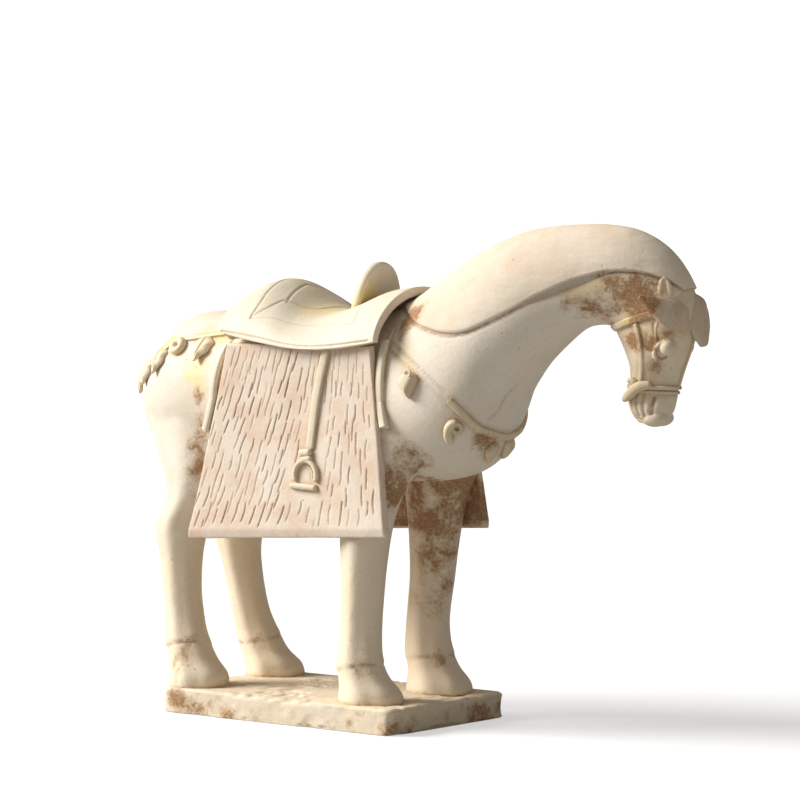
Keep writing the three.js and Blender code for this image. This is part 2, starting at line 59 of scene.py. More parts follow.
# Rings of the trunk, neck and head, seen from the side with the neck straight, mm above the slab:
# x and z on the back, x and z on the belly, half-width, and how much narrower the back's side is.
TRUNK = np.array([
    [-139, 190, -137, 168, 9, 0], [-134.5, 205, -128, 147, 25, 0],
    [-123.5, 218, -114, 135, 37, 0.02], [-106.5, 227.2, -97, 129, 43.5, 0.04],
    [-87, 230.8, -83, 128, 46, 0.05], [-56, 230.5, -56, 129, 46.5, 0.05],
    [-20, 227, -20, 128, 46.5, 0.05], [20, 226, 24, 128, 46.5, 0.05],
    [50, 230, 64, 129, 45.5, 0.06], [72, 237.5, 99, 132, 43.5, 0.1],
    [95, 251.5, 119.5, 140, 41.5, 0.14], [118, 265, 130.5, 154.5, 38.5, 0.16],
    [141.5, 275, 136.7, 171.5, 34.5, 0.16], [160, 279, 145.5, 185.5, 31, 0.16],
    [179, 280.5, 156, 198.5, 27.5, 0.14], [198, 280.2, 171, 212, 24.5, 0.12],
    [216.5, 277, 183.5, 221, 22.5, 0.1], [232, 268.3, 194, 223.5, 21, 0.08],
    [243, 256, 202, 222.5, 19.5, 0.05], [249.5, 243.5, 204.5, 218, 19.3, 0],
    [251.5, 232, 207, 213, 19.3, -0.05], [250.8, 220, 209.5, 207, 18, -0.08],
    [248, 210, 211.5, 201, 16, -0.08], [244, 199, 212, 195.5, 13.2, -0.05],
    [240.7, 188.5, 211.5, 189, 11.4, 0], [239, 180, 210.5, 181.5, 11.4, 0],
    [236.5, 173, 212.5, 174, 10.6, 0], [231, 167, 217, 168, 7.5, 0]], dtype=float)
# Rings of a leg from the top down: height, x, y, half-length, half-breadth.
HIND_LEG = np.array([
    [186, -88.5, 21, 36, 20], [170, -87, 23.5, 37, 20], [152, -82.5, 26.5, 34, 19.6],
    [136, -79.5, 28.5, 28.5, 18.6], [125, -80.5, 28.5, 23.5, 17.6], [114, -84.5, 28, 20.4, 16.6],
    [98, -96.5, 27, 18, 14.8], [88, -98, 27, 16.5, 13.6], [76, -97.2, 27.6, 13.8, 12.3],
    [58, -94.8, 29.5, 12.4, 11.4], [43, -91.9, 30.6, 12.4, 11.4], [33, -89.7, 32, 13.5, 12.2],
    [24, -86.5, 33, 14.6, 13.2], [15, -82, 33.6, 16, 14.4], [7, -76.4, 35.2, 18.6, 17.4],
    [0, -75.6, 36, 19.4, 18.6]])
FORE_LEG = np.array([
    [172, 67.7, 22, 36, 20], [155, 65.7, 26, 33, 20], [138, 62.7, 29.5, 27, 18.8],
    [122, 59.2, 32, 20.6, 16.8], [106, 56.7, 33.2, 17, 15.2], [87, 55.1, 33.4, 14.8, 13.6],
    [69, 53.9, 33.3, 13.6, 12.6], [51, 52.1, 32.4, 13, 12.1], [38, 51.1, 32.3, 13.2, 12.3],
    [24, 51.2, 33.4, 14.6, 13.2], [14, 54.8, 33.7, 15.8, 14.2], [6, 59, 33.3, 19.2, 17.2],
    [0, 59.7, 33, 20.6, 18.4]])
LEFT_FORE_GIRTH = 1.05  # the left fore leg is a little stouter
# Tail from the root down: x, z, radius.
TAIL = np.array([[-124, 212, 6], [-135, 208, 7], [-142.5, 196, 7], [-144.5, 181, 6.6], [-142.5, 167, 5.6],
                 [-137, 157, 3.0]])
MANE_START, MANE_END = 8.8, 18.9  # rings of the trunk
# How far the mane hangs down at even steps along it, as a share of the ring's height.
MANE_DEPTH = np.array([[0.02], [0.24], [0.4], [0.476], [0.5], [0.48], [0.455], [0.42], [0.33], [0.19], [0.05]])
# Saddle pad from the back to the front: x on the back, x at the hem, half-breadth, top, hem.
PAD = np.array([
    [-53, -44, 51.5, 238.2, 218.5], [-43, -34, 52, 246.8, 216], [-29, -19, 52.5, 250.8, 213.3],
    [-14, -3, 53, 245, 211], [2, 14, 53, 234.6, 209], [18, 31, 53, 231.6, 208.5],
    [38, 47, 52.5, 236.5, 209.3], [57, 63, 51.5, 243.5, 211.2], [73.4, 75.4, 50.5, 245.7, 213.2]])
PAD_SLACK = 1.3  # how late its flanks rise from the hem to the back; 1 is a round arch
# Blanket: x on the back, x at the hem, half-breadth, top, hem.
BLANKET = np.array([[-50, -60, 45.5, 226, 157], [-5, -12, 45, 223, 159], [40, 36, 44.5, 226, 161],
                    [74, 82, 42.5, 232, 163]])
BLANKET_LENGTH = 140.0
BLANKET_GIRTH = 178.0  # height below which the blanket hangs straight
BLANKET_SKIRT = 0.16  # share of its girth that hangs straight, on each side
# Corners of a side panel: x, distance from the middle, z.
PANEL_LOW = np.array([[-69, 54.5, 91.5], [84.5, 53, 99]])
PANEL_TOP = np.array([[-40.3, 48.5, 211], [70, 47.5, 211]])
PANEL_FLARE = 1.7  # how late the panel turns outwards on its way down
PANEL_LENGTH, PANEL_HEIGHT, PANEL_THICKNESS = 132.0, 118.0, 6.0


class Side(Enum):
    """The horse's own right or left, as the sign of Y."""

    RIGHT = -1
    LEFT = 1


# ---- the form ----

def smooth_rows(rows: Array, at: Array) -> Array:
    """Values of a table at fractional rows, on a smooth curve through its rows.

    Args:
        rows: the table, one row per station.
        at: fractional row numbers.

    Returns:
        One row of values for each number.
    """
    at = np.atleast_1d(np.asarray(at, float))
    last = len(rows) - 1
    i = np.clip(np.floor(at).astype(int), 0, last - 1)
    t = (at - i)[:, None]
    a, b, c, d = (rows[np.clip(i + k, 0, last)] for k in (-1, 0, 1, 2))
    step = c - b
    return b + step * t + 0.5 * t * (1 - t) * ((c - a - 2 * step) * (1 - t) - (d - b - 2 * step) * t)


def ease(value: Array, low: float, high: float) -> Array:
    """Smooth step from 0 at low to 1 at high."""
    t = np.clip((value - low) / (high - low), 0, 1)
    return t * t * (3 - 2 * t)


class Figure:
    """The straight horse's skin, and the turn of its neck and head."""

    TURN_START, TURN_END, TURN = 60.0, 205.0, math.radians(14)
    _at = np.linspace(TURN_START, 320.0, 1041)
    _heading = TURN * ease(_at, TURN_START, TURN_END)
    _half = (_heading[1:] + _heading[:-1]) / 2
    _x = TURN_START + np.concatenate([[0], np.cumsum(np.cos(_half))]) * (_at[1] - _at[0])
    _y = np.concatenate([[0], np.cumsum(np.sin(_half))]) * (_at[1] - _at[0])

    @classmethod
    def turned(cls, x: Array, y: Array, z: Array) -> Array:
        """Places points of the straight figure, in millimetres above the slab.

        Args:
            x: how far forward.
            y: how far to the horse's left.
            z: how far above the slab.

        Returns:
            Points in the part's frame, in metres.
        """
        x, y, z = np.broadcast_arrays(np.asarray(x, float), y, z)
        heading = cls.TURN * ease(x, cls.TURN_START, cls.TURN_END)
        mid_x = np.where(x > cls.TURN_START, np.interp(x, cls._at, cls._x), x)
        mid_y = np.interp(x, cls._at, cls._y)
        return np.stack([mid_x - y * np.sin(heading) + FRAME_SHIFT, mid_y + y * np.cos(heading),
                         z + SLAB_THICKNESS], -1) * MM

    @classmethod
    def skin(cls, ring: Array, degrees: Array, lift: Array = 0.0) -> Array:
        """Points on the skin or lifted off it.

        Args:
            ring: fractional ring of the trunk.
            degrees: angle from the back, positive to the left.
            lift: millimetres off the skin.

        Returns:
            Points in the part's frame, in metres.
        """
        ring, degrees, lift = (np.ravel(a) for a in np.broadcast_arrays(ring, degrees, lift))
        bx, bz, lx, lz, half, pinch = smooth_rows(TRUNK, ring).T
        reach = np.hypot(bx - lx, bz - lz) / 2
        ux, uz = (bx - lx) / (2 * reach), (bz - lz) / (2 * reach)
        c, s = np.cos(np.radians(degrees)), np.sin(np.radians(degrees))
        wide = half * (1 - pinch * c)
        length = np.hypot(c / reach, s / wide)
        up = reach * c + c / reach / length * lift
        across = wide * s + s / wide / length * lift
        return cls.turned((bx + lx) / 2 + ux * up, across, (bz + lz) / 2 + uz * up)

    @classmethod
    def normal(cls, ring: Array, degrees: Array) -> Array:
        """Outward unit directions of the skin."""
        out = cls.skin(ring, degrees, 1.0) - cls.skin(ring, degrees, 0.0)
        along = cls.skin(np.asarray(ring) + 0.05, degrees) - cls.skin(np.asarray(ring) - 0.05, degrees)
        around = cls.skin(ring, np.asarray(degrees) + 1) - cls.skin(ring, np.asarray(degrees) - 1)
        cross = np.cross(around, along)
        cross *= np.sign(np.sum(cross * out, axis=1))[:, None]
        return unit(cross)


def unit(vectors: Array) -> Array:
    """Vectors brought to length 1."""
    return vectors / np.maximum(np.linalg.norm(vectors, axis=-1, keepdims=True), 1e-12)


# ---- meshes ----

def coordinates(mesh: bpy.types.Mesh) -> Array:
    """Vertex places of a mesh as an array."""
    flat = np.empty(len(mesh.vertices) * 3)
    mesh.vertices.foreach_get("co", flat)
    return flat.reshape(-1, 3)


def set_coordinates(mesh: bpy.types.Mesh, points: Array) -> None:
    """Moves the vertices of a mesh."""
    mesh.vertices.foreach_set("co", np.ascontiguousarray(points, dtype=np.float64).ravel())
    mesh.update()


def normals(mesh: bpy.types.Mesh) -> Array:
    """Vertex normals of a mesh as an array."""
    flat = np.empty(len(mesh.vertices) * 3)
    mesh.vertex_normals.foreach_get("vector", flat)
    return flat.reshape(-1, 3)


def get_mask(mesh: bpy.types.Mesh, name: str) -> Array:
    """A point attribute's values, made with zeros if it is new."""
    layer = mesh.attributes.get(name) or mesh.attributes.new(name, "FLOAT", "POINT")
    values = np.zeros(len(mesh.vertices))
    layer.data.foreach_get("value", values)
    return values


def set_mask(mesh: bpy.types.Mesh, name: str, values: Array) -> None:
    """Writes a point attribute."""
    get_mask(mesh, name)
    mesh.attributes[name].data.foreach_set("value", np.clip(values, 0, 1))


def grid(surface: Surface, columns: int, rows: int) -> bmesh.types.BMesh:
    """Grid of faces laid on a surface.

    Args:
        surface: gives points for two arrays of shares, 0 to 1.
        columns: faces along the first share.
        rows: faces along the second.

    Returns:
        A new bmesh, with its seams still open.
    """
    mesh = bpy.data.meshes.new("grid")
    bm = bmesh.new()
    bmesh.ops.create_grid(bm, x_segments=columns, y_segments=rows, size=1.0)
    bm.to_mesh(mesh)
    flat = (coordinates(mesh) + 1) / 2
    u, v = np.clip(flat[:, 0], 0, 1), np.clip(flat[:, 1], 0, 1)
    set_coordinates(mesh, surface(u, v))
    bm.clear()
    bm.from_mesh(mesh)
    bpy.data.meshes.remove(mesh)
    return bm


def close(bm: bmesh.types.BMesh, name: str, weld: float = 2e-6) -> bpy.types.Mesh:
    """Welds the seams, fills the holes left and turns the faces outwards.

    Args:
        bm: the surface; it is freed.
        name: name of the mesh.
        weld: distance of doubles, metres.

    Returns:
        The closed mesh, smooth-shaded.
    """
    bmesh.ops.remove_doubles(bm, verts=bm.verts, dist=weld)
    bmesh.ops.dissolve_degenerate(bm, dist=1e-7, edges=bm.edges)
    bmesh.ops.holes_fill(bm, edges=[e for e in bm.edges if e.is_boundary], sides=0)
    bmesh.ops.recalc_face_normals(bm, faces=bm.faces)
    if bm.calc_volume(signed=True) < 0:
        bmesh.ops.reverse_faces(bm, faces=bm.faces)
    for face in bm.faces:
        face.smooth = True
    mesh = bpy.data.meshes.new(name)
    bm.to_mesh(mesh)
    bm.free()
    return mesh


def tube(surface: Surface, columns: int, rows: int, name: str = "tube") -> bpy.types.Mesh:
    """Closed mesh of a surface whose second share runs once round it."""
    return close(grid(surface, columns, rows), name)


def merged(meshes: Sequence[bpy.types.Mesh], name: str) -> bpy.types.Mesh:
    """One mesh out of several, which are removed."""
    bm = bmesh.new()
    for mesh in meshes:
        bm.from_mesh(mesh)
        bpy.data.meshes.remove(mesh)
    whole = bpy.data.meshes.new(name)
    bm.to_mesh(whole)
    bm.free()
    return whole


def fused(mesh: bpy.types.Mesh, voxel: float, smooth: int, name: str) -> bpy.types.Mesh:
    """Overlapping solids pressed into one skin, as wet clay is.

    Args:
        mesh: closed solids that overlap; it is removed.
        voxel: size of the new faces, mm.
        smooth: how many times the skin is smoothed.
        name: name of the new mesh.

    Returns:
        The fused mesh.
    """
    helper = bpy.data.objects.new("fusing", mesh)
    bpy.context.collection.objects.link(helper)
    remesh = helper.modifiers.new("fuse", "REMESH")
    remesh.mode = "VOXEL"
    remesh.voxel_size = voxel * MM
    remesh.use_smooth_shade = True
    graph = bpy.context.evaluated_depsgraph_get()
    skin = bpy.data.meshes.new_from_object(helper.evaluated_get(graph))
    bpy.data.objects.remove(helper)
    bpy.data.meshes.remove(mesh)
    bm = bmesh.new()
    bm.from_mesh(skin)
    for _ in range(smooth):
        bmesh.ops.smooth_vert(bm, verts=bm.verts, factor=0.5, use_axis_x=True, use_axis_y=True,
                              use_axis_z=True)
    for face in bm.faces:
        face.smooth = True
    bm.to_mesh(skin)
    bm.free()
    skin.name = name
    return skin


def line_distance(points: Array, lines: Sequence[Array]) -> tuple[Array, Array]:
    """How far points lie from the nearest of some lines, and which line that is."""
    best = np.full(len(points), 1e9)
    which = np.zeros(len(points), int)
    for k, line in enumerate(lines):
        low, high = line.min(0) - 0.006, line.max(0) + 0.006
        near = np.flatnonzero(np.all((points > low) & (points < high), axis=1))
        if not len(near):
            continue
        p = points[near]
        for a, b in zip(line[:-1], line[1:]):
            ab = b - a
            t = np.clip((p - a) @ ab / max(ab @ ab, 1e-18), 0, 1)
            d = np.linalg.norm(p - a - t[:, None] * ab, axis=1)
            closer = d < best[near]
            best[near[closer]] = d[closer]
            which[near[closer]] = k
    return best, which


def carve(mesh: bpy.types.Mesh, lines: Sequence[Array], width: float, depth: float, soil_and_shade: float = 0.0,
          strengths: Array | None = None) -> None:
    """Cuts grooves along lines, or raises ridges where the depth is negative.

    Args:
        mesh: what is cut.
        lines: each a row of points on or near the skin, metres.
        width: half-width of a groove, mm.
        depth: depth, mm.
        soil_and_shade: how dark the groove is painted, for soil in it and its painted shade, 0 to 1.
        strengths: one factor for each line's darkening and depth.
    """
    points = coordinates(mesh)
    distance, which = line_distance(points, lines)
    share = np.exp(-(distance / (width * MM)) ** 2)
    factor = np.ones(len(lines)) if strengths is None else strengths
    set_coordinates(mesh, points - normals(mesh) * (share * factor[which] * depth * MM)[:, None])
    # Dark fill of the groove: soil in it and its painted shade.
    if soil_and_shade:
        set_mask(mesh, "groove", np.maximum(get_mask(mesh, "groove"), share * soil_and_shade * factor[which]))


def swell(mesh: bpy.types.Mesh, centre: Array, radius: float, height: float) -> None:
    """Raises a soft bump on a skin.

    Args:
        mesh: the skin.
        centre: middle of the bump, metres.
        radius: its radius, mm.
        height: its height, mm; below 0 it is a hollow.
    """
    points = coordinates(mesh)
    share = np.exp(-(np.linalg.norm(points - centre, axis=1) / (radius * MM)) ** 2)
    set_coordinates(mesh, points + normals(mesh) * (share * height * MM)[:, None])


def speckle(points: Array, scale: float, seed: int) -> Array:
    """Soft random values from 0 to 1 over places, from a few crossed waves."""
    rng = np.random.default_rng(seed)
    total = np.zeros(len(points))
    for octave in range(5):
        direction = unit(rng.normal(size=(6, 3)))
        phase = rng.uniform(0, 2 * math.pi, 6)
        total += np.sin(points @ direction.T * scale * 1.8 ** octave + phase).sum(1) / 1.5 ** octave
    return 1 / (1 + np.exp(-0.55 * total))


# ---- finish ----

@dataclass(frozen=True)
class Clay:
    """A finish of the glazed clay: colours as linear RGB, with the dark fills that paint shade into grooves
    and where pieces lie close, and how worn and stained it is.
    """

    name: str
    base: tuple[float, float, float]
    warm: tuple[float, float, float]
    mottle: float = 0.6
    mottle_scale: float = 24.0
    freckles: float = 0.3
    roughness: float = 0.62
    bump: float = 0.35
    EARTH = (0.33, 0.165, 0.07)
    GLAZE = (0.86, 0.66, 0.27)
    # Dark fill of the grooves: soil in them and their painted shade.
    GROOVE = (0.27, 0.125, 0.065)
    # Colour of dust, also used for the painted shade where pieces lie close.
    DUST_AND_SHADE = (0.56, 0.37, 0.20)
    LIMB = (0.85, 0.71, 0.52)

    def build(self) -> bpy.types.Material:
        """Builds the material from the shared group.

        Returns:
            The new material.
        """
        material = bpy.data.materials.new(self.name)
        material.use_nodes = True
        tree = material.node_tree
        shader = tree.nodes["Principled BSDF"]
        shader.inputs["Metallic"].default_value = 0.0
        shader.inputs["Specular IOR Level"].default_value = 0.32
        group = tree.nodes.new("ShaderNodeGroup")
        group.node_tree = clay_group()
        colours = {"Base": self.base, "Warm": self.warm, "Earth": self.EARTH, "Glaze": self.GLAZE,
                   "Groove": self.GROOVE, "Dust and shade": self.DUST_AND_SHADE, "Limb": self.LIMB}
        for socket, colour in colours.items():
            group.inputs[socket].default_value = (*colour, 1.0)
        values = {"Mottle": self.mottle, "Mottle Scale": self.mottle_scale, "Freckles": self.freckles,
                  "Roughness": self.roughness}
        for socket, value in values.items():
            group.inputs[socket].default_value = value
        bump = tree.nodes.new("ShaderNodeBump")
        bump.inputs["Strength"].default_value = self.bump
        bump.inputs["Distance"].default_value = 0.0008
        tree.links.new(group.outputs["Color"], shader.inputs["Base Color"])
        tree.links.new(group.outputs["Roughness"], shader.inputs["Roughness"])
        tree.links.new(group.outputs["Height"], bump.inputs["Height"])
        tree.links.new(bump.outputs["Normal"], shader.inputs["Normal"])
        return material


class Nodes:
    """Short ways to add nodes to one tree."""

    def __init__(self, tree: bpy.types.NodeTree) -> None:
        """Keeps the tree."""
        self.tree = tree

    def add(self, kind: str, links: dict | None = None, **settings: object) -> bpy.types.Node:
        """Adds a node.

        Args:
            kind: the node's type.
            links: input name or number to an output socket or a value.
            settings: properties of the node.

        Returns:
            The node.
        """
        node = self.tree.nodes.new(kind)
        for key, value in settings.items():
            setattr(node, key, value)
        for key, value in (links or {}).items():
            if isinstance(value, bpy.types.NodeSocket):
                self.tree.links.new(value, node.inputs[key])
            else:
                node.inputs[key].default_value = value
        return node

    def maths(self, operation: str, a: object, b: object = 0.0, clamp: bool = False) -> bpy.types.NodeSocket:
        """Output of a Math node."""
        return self.add("ShaderNodeMath", {0: a, 1: b}, operation=operation, use_clamp=clamp).outputs[0]

    def noise(self, where: bpy.types.NodeSocket, scale: object, detail: float,
              rough: float) -> bpy.types.NodeSocket:
        """Output of a noise texture."""
        links = {"Vector": where, "Scale": scale, "Detail": detail, "Roughness": rough}
        return self.add("ShaderNodeTexNoise", links).outputs[0]

    def span(self, value: bpy.types.NodeSocket, low: float, high: float) -> bpy.types.NodeSocket:
        """Value brought to 0..1 between two limits, eased at both ends."""
        links = {"Value": value, "From Min": low, "From Max": high}
        return self.add("ShaderNodeMapRange", links, interpolation_type="SMOOTHSTEP").outputs[0]

    def mask(self, name: str) -> bpy.types.NodeSocket:
        """A point attribute of the piece."""
        return self.add("ShaderNodeAttribute", attribute_name=name).outputs["Fac"]

    def mix(self, share: object, a: object, b: object, blend: str = "MIX") -> bpy.types.NodeSocket:
        """Mixes two colours."""
        node = self.add("ShaderNodeMix", data_type="RGBA", blend_type=blend)
        for socket, value in ((node.inputs[0], share), (node.inputs[6], a), (node.inputs[7], b)):
            if isinstance(value, bpy.types.NodeSocket):
                self.tree.links.new(value, socket)
            else:
                socket.default_value = value
        return node.outputs[2]


def clay_group() -> bpy.types.NodeTree:
    """The shared group: mottled glaze, freckles, pits, earth, dirt and painted shade where pieces lie close,
    and grooves painted dark for soil and their shade.

    Returns:
        The group, built once.
    """
    name = "Worn straw glaze and painted shade"
    if name in bpy.data.node_groups:
        return bpy.data.node_groups[name]
    tree = bpy.data.node_groups.new(name, "ShaderNodeTree")
    for socket in ("Base", "Warm", "Earth", "Glaze", "Groove", "Dust and shade", "Limb"):
        tree.interface.new_socket(socket, in_out="INPUT", socket_type="NodeSocketColor")
    for socket in ("Mottle", "Mottle Scale", "Freckles", "Roughness"):
        tree.interface.new_socket(socket, in_out="INPUT", socket_type="NodeSocketFloat")
    tree.interface.new_socket("Color", in_out="OUTPUT", socket_type="NodeSocketColor")
    for socket in ("Roughness", "Height"):
        tree.interface.new_socket(socket, in_out="OUTPUT", socket_type="NodeSocketFloat")
    n = Nodes(tree)
    given = n.add("NodeGroupInput").outputs
    where = n.add("ShaderNodeTexCoord").outputs["Object"]
    broad = n.noise(where, given["Mottle Scale"], 5.0, 0.62)
    middle = n.noise(where, 95.0, 6.0, 0.65)
    fine = n.noise(where, 620.0, 4.0, 0.6)
    spots = n.noise(where, 330.0, 3.0, 0.7)
    mottle = n.maths("MULTIPLY", n.span(broad, 0.36, 0.68), given["Mottle"])
    colour = n.mix(mottle, given["Base"], given["Warm"])
    limb = n.maths("MULTIPLY", n.mask("limb"), n.maths("ADD", n.maths("MULTIPLY", broad, 0.9), 0.42), True)
    colour = n.mix(limb, colour, given["Limb"])
    colour = n.mix(n.maths("MULTIPLY", n.span(middle, 0.5, 0.78), 0.30), colour, given["Limb"])
    freckle = n.maths("MULTIPLY", n.span(spots, 0.62, 0.74), given["Freckles"])
    colour = n.mix(freckle, colour, given["Dust and shade"])
    glaze = n.span(n.maths("ADD", n.mask("yellow"), n.maths("MULTIPLY", middle, 0.5)), 0.42, 1.15)
    glaze = n.maths("MULTIPLY", glaze, n.span(n.mask("yellow"), 0.02, 0.2))
    colour = n.mix(n.maths("MULTIPLY", glaze, 0.75), colour, given["Glaze"])
    # Painted shade and dirt where pieces lie close.
    crevice_dirt_and_shade = n.maths("MULTIPLY", n.mask("contact_dirt_and_shade"), n.span(middle, 0.22, 0.62))
    colour = n.mix(n.maths("MULTIPLY", crevice_dirt_and_shade, 0.75), colour, given["Dust and shade"])
    crumb = n.maths("ADD", n.maths("MULTIPLY", n.noise(where, 48.0, 12.0, 0.72), 4.2),
                    n.maths("MULTIPLY", n.noise(where, 520.0, 5.0, 0.75), 1.1))
    soil = n.maths("ADD", n.maths("MULTIPLY", n.mask("earth"), 0.85), n.maths("SUBTRACT", crumb, 2.72))
    soil = n.maths("MULTIPLY", soil, n.span(n.mask("earth"), 0.03, 0.25))
    film = n.span(soil, 0.02, 0.55)
    earth = n.span(soil, 0.42, 0.85)
    colour = n.mix(n.maths("MULTIPLY", film, 0.62), colour, given["Dust and shade"])
    dark_earth = n.mix(n.span(fine, 0.42, 0.8), given["Earth"], given["Dust and shade"])
    colour = n.mix(n.maths("MULTIPLY", earth, 0.88), colour, dark_earth)
    voronoi = n.add("ShaderNodeTexVoronoi", {"Vector": where, "Scale": 170.0, "Randomness": 1.0})
    holes = n.maths("SUBTRACT", 1.0, n.span(voronoi.outputs["Distance"], 0.05, 0.13))
    pits = n.maths("MULTIPLY", holes, n.span(middle, 0.52, 0.6))
    colour = n.mix(n.maths("MULTIPLY", pits, 0.7), colour, given["Dust and shade"])
    groove = n.maths("MULTIPLY", n.mask("groove"), n.span(n.noise(where, 260.0, 4.0, 0.6), 0.25, 0.5), True)
    colour = n.mix(groove, colour, given["Groove"])
    tone = n.maths("ADD", 0.955, n.maths("MULTIPLY", n.maths("SUBTRACT", fine, 0.5), 0.22))
    tinted = n.add("ShaderNodeCombineColor", {0: tone, 1: tone, 2: tone}).outputs[0]
    colour = n.mix(1.0, colour, tinted, "MULTIPLY")
    rough = n.maths("ADD", given["Roughness"], n.maths("MULTIPLY", n.maths("SUBTRACT", middle, 0.5), 0.3))
    rough = n.maths("SUBTRACT", rough, n.maths("MULTIPLY", glaze, 0.22))
    rough = n.maths("ADD", rough, n.maths("MULTIPLY", n.maths("ADD", earth, crevice_dirt_and_shade), 0.2), True)
    height = n.maths("ADD", n.maths("MULTIPLY", fine, 0.35), n.maths("MULTIPLY", middle, 0.9))
    height = n.maths("SUBTRACT", height, n.maths("MULTIPLY", pits, 1.1))
    height = n.maths("ADD", height, n.maths("MULTIPLY", earth, 0.35))
    height = n.maths("SUBTRACT", height, n.maths("MULTIPLY", freckle, 0.3))
    n.add("NodeGroupOutput", {"Color": colour, "Roughness": rough, "Height": height})
    return tree


CREAM = Clay("cream_glaze", (0.86, 0.775, 0.665), (0.80, 0.67, 0.51), bump=0.5)
HEAD_CLAY = Clay("head_glaze", (0.83, 0.71, 0.54), (0.70, 0.54, 0.35), mottle=0.9, mottle_scale=60.0,
                 freckles=0.5)
MANE_CLAY = Clay("mane_clay", (0.83, 0.73, 0.59), (0.77, 0.57, 0.42), mottle=0.6, roughness=0.7)
PANEL_CLAY = Clay("panel_clay", (0.82, 0.71, 0.59), (0.74, 0.53, 0.38), mottle=0.75, mottle_scale=42.0,
                  roughness=0.74, bump=0.5)
SADDLE_CLAY = Clay("saddle_glaze", (0.85, 0.765, 0.62), (0.83, 0.71, 0.53), mottle=0.5, freckles=0.15,
                   roughness=0.52)
HARNESS_CLAY = Clay("harness_glaze", (0.77, 0.67, 0.49), (0.68, 0.51, 0.29), mottle=0.8, mottle_scale=90.0,
                    roughness=0.55)
SLAB_CLAY = Clay("slab_clay", (0.80, 0.69, 0.54), (0.75, 0.60, 0.42), mottle=0.7, freckles=0.5, roughness=0.74,
                 bump=0.6)
LOCK_CLAY = Clay("lock_clay", (0.70, 0.57, 0.43), (0.60, 0.44, 0.31), mottle=0.8, mottle_scale=110.0,
                 freckles=0.6, roughness=0.72, bump=0.55)
STIRRUP_CLAY = Clay("stirrup_clay", (0.80, 0.70, 0.54), (0.74, 0.61, 0.43), mottle=0.7, mottle_scale=70.0,
                    roughness=0.6)
CREAM_HARNESS = Clay("crupper_glaze", (0.86, 0.77, 0.59), (0.84, 0.66, 0.38), mottle=0.7, mottle_scale=110.0,
                     roughness=0.5)


@dataclass(frozen=True)
class Patch:
    """A soft spot on the surface: a place and a radius, mm, and a strength."""

    x: float
    y: float
    z: float
    radius: float
    strength: float = 1.0

    def over(self, points: Array) -> Array:
        """The spot's strength at places in metres."""
        away = np.linalg.norm(points / MM - np.array([self.x + PATCH_SHIFT, self.y, self.z]), axis=1)
        return self.strength * np.exp(-(away / self.radius) ** 2)


EARTH = (
    Patch(166, 0, 259, 8, 1.1), Patch(171, 2, 253, 9, 1.2), Patch(182, -1, 252, 8),
    Patch(175, 4, 263, 9, 1.1), Patch(160, -3, 263, 7, 0.9), Patch(155, -2, 253, 7, 0.8),
    Patch(154, 1, 247, 8, 0.9), Patch(144, -4, 250, 7, 0.8), Patch(134, -9, 251, 6, 0.55),
    Patch(168, 6, 230, 6, 0.9), Patch(182, 11, 215, 4.5, 1.2), Patch(182, 6, 231, 5, 0.7),
    Patch(190, 10, 237, 5, 0.6), Patch(186, -6, 247, 7, 1.0), Patch(176, -8, 236, 6, 0.8),
    Patch(163, 0, 222, 7, 0.7), Patch(178, 4, 203, 5, 0.5), Patch(36, -40, 162, 8, 0.75),
    Patch(35, -38, 154, 9, 1.15), Patch(40, -33, 159, 9, 1.1), Patch(31, -38, 145, 9),
    Patch(29, -35, 141, 9, 0.8), Patch(30, -9, 148, 13, 1.0), Patch(19, -5, 146, 12, 0.9),
    Patch(7, 16, 136, 13, 0.85), Patch(14, 19, 126, 13, 0.9), Patch(24, 23, 133, 11, 0.8),
    Patch(31, 24, 145, 9, 0.9), Patch(15, 25, 108, 20, 0.7), Patch(13, 28, 70, 16, 0.45),
    Patch(-116, -46, 195, 5, 0.7), Patch(-117, -43, 174, 6, 1.0), Patch(-120, -45, 163, 6, 1.0),
    Patch(-119, -44, 152, 6, 1.0), Patch(-122, -42, 140, 7, 0.6), Patch(-116, -40, 185, 5, 0.8),
    Patch(36, -28, 242, 7, 0.8), Patch(40, -22, 247, 7, 0.9), Patch(34, -33, 233, 6, 0.6),
    Patch(78, -12, 168, 6, 1.0), Patch(79, -17, 173, 6, 1.0), Patch(44, -37, 206, 5, 0.8),
    Patch(30, 46, 132, 16, 0.8), Patch(22, 46, 123, 14, 0.8), Patch(-120, 46, 150, 12, 0.7),
    Patch(40, 34, 158, 10, 0.8), Patch(-60, 20, 142, 22, 0.7), Patch(0, -15, 143, 24, 0.8),
    Patch(-134, -56, 9, 8, 0.7), Patch(-122, -56, 7, 9, 0.6), Patch(-108, -56, 4, 9, 0.7),
    Patch(-95, -56, 3, 8, 0.65), Patch(-84, -56, 3, 6, 0.55), Patch(41, -52, 3, 8, 0.7),
    Patch(41, -38, 3, 8, 0.6), Patch(42, 21, 4, 10, 0.75), Patch(42, 36, 5, 9, 0.8),
    Patch(42, 50, 6, 7, 0.7), Patch(-142, 30, 6, 14, 0.8), Patch(-20, -56, 3, 6, 0.5),
    Patch(10, -56, 2, 5, 0.6), Patch(-126, -40, 42, 6, 0.5), Patch(11, -43, 37, 6, 0.5),
    Patch(-131, -45, 28, 8, 0.55), Patch(-128, 24, 37, 6, 0.5), Patch(12, 25, 37, 6, 0.5),
    Patch(0, -40, 40, 5, 0.5), Patch(-70, 56, 5, 9, 0.8), Patch(0, 56, 4, 8, 0.7))
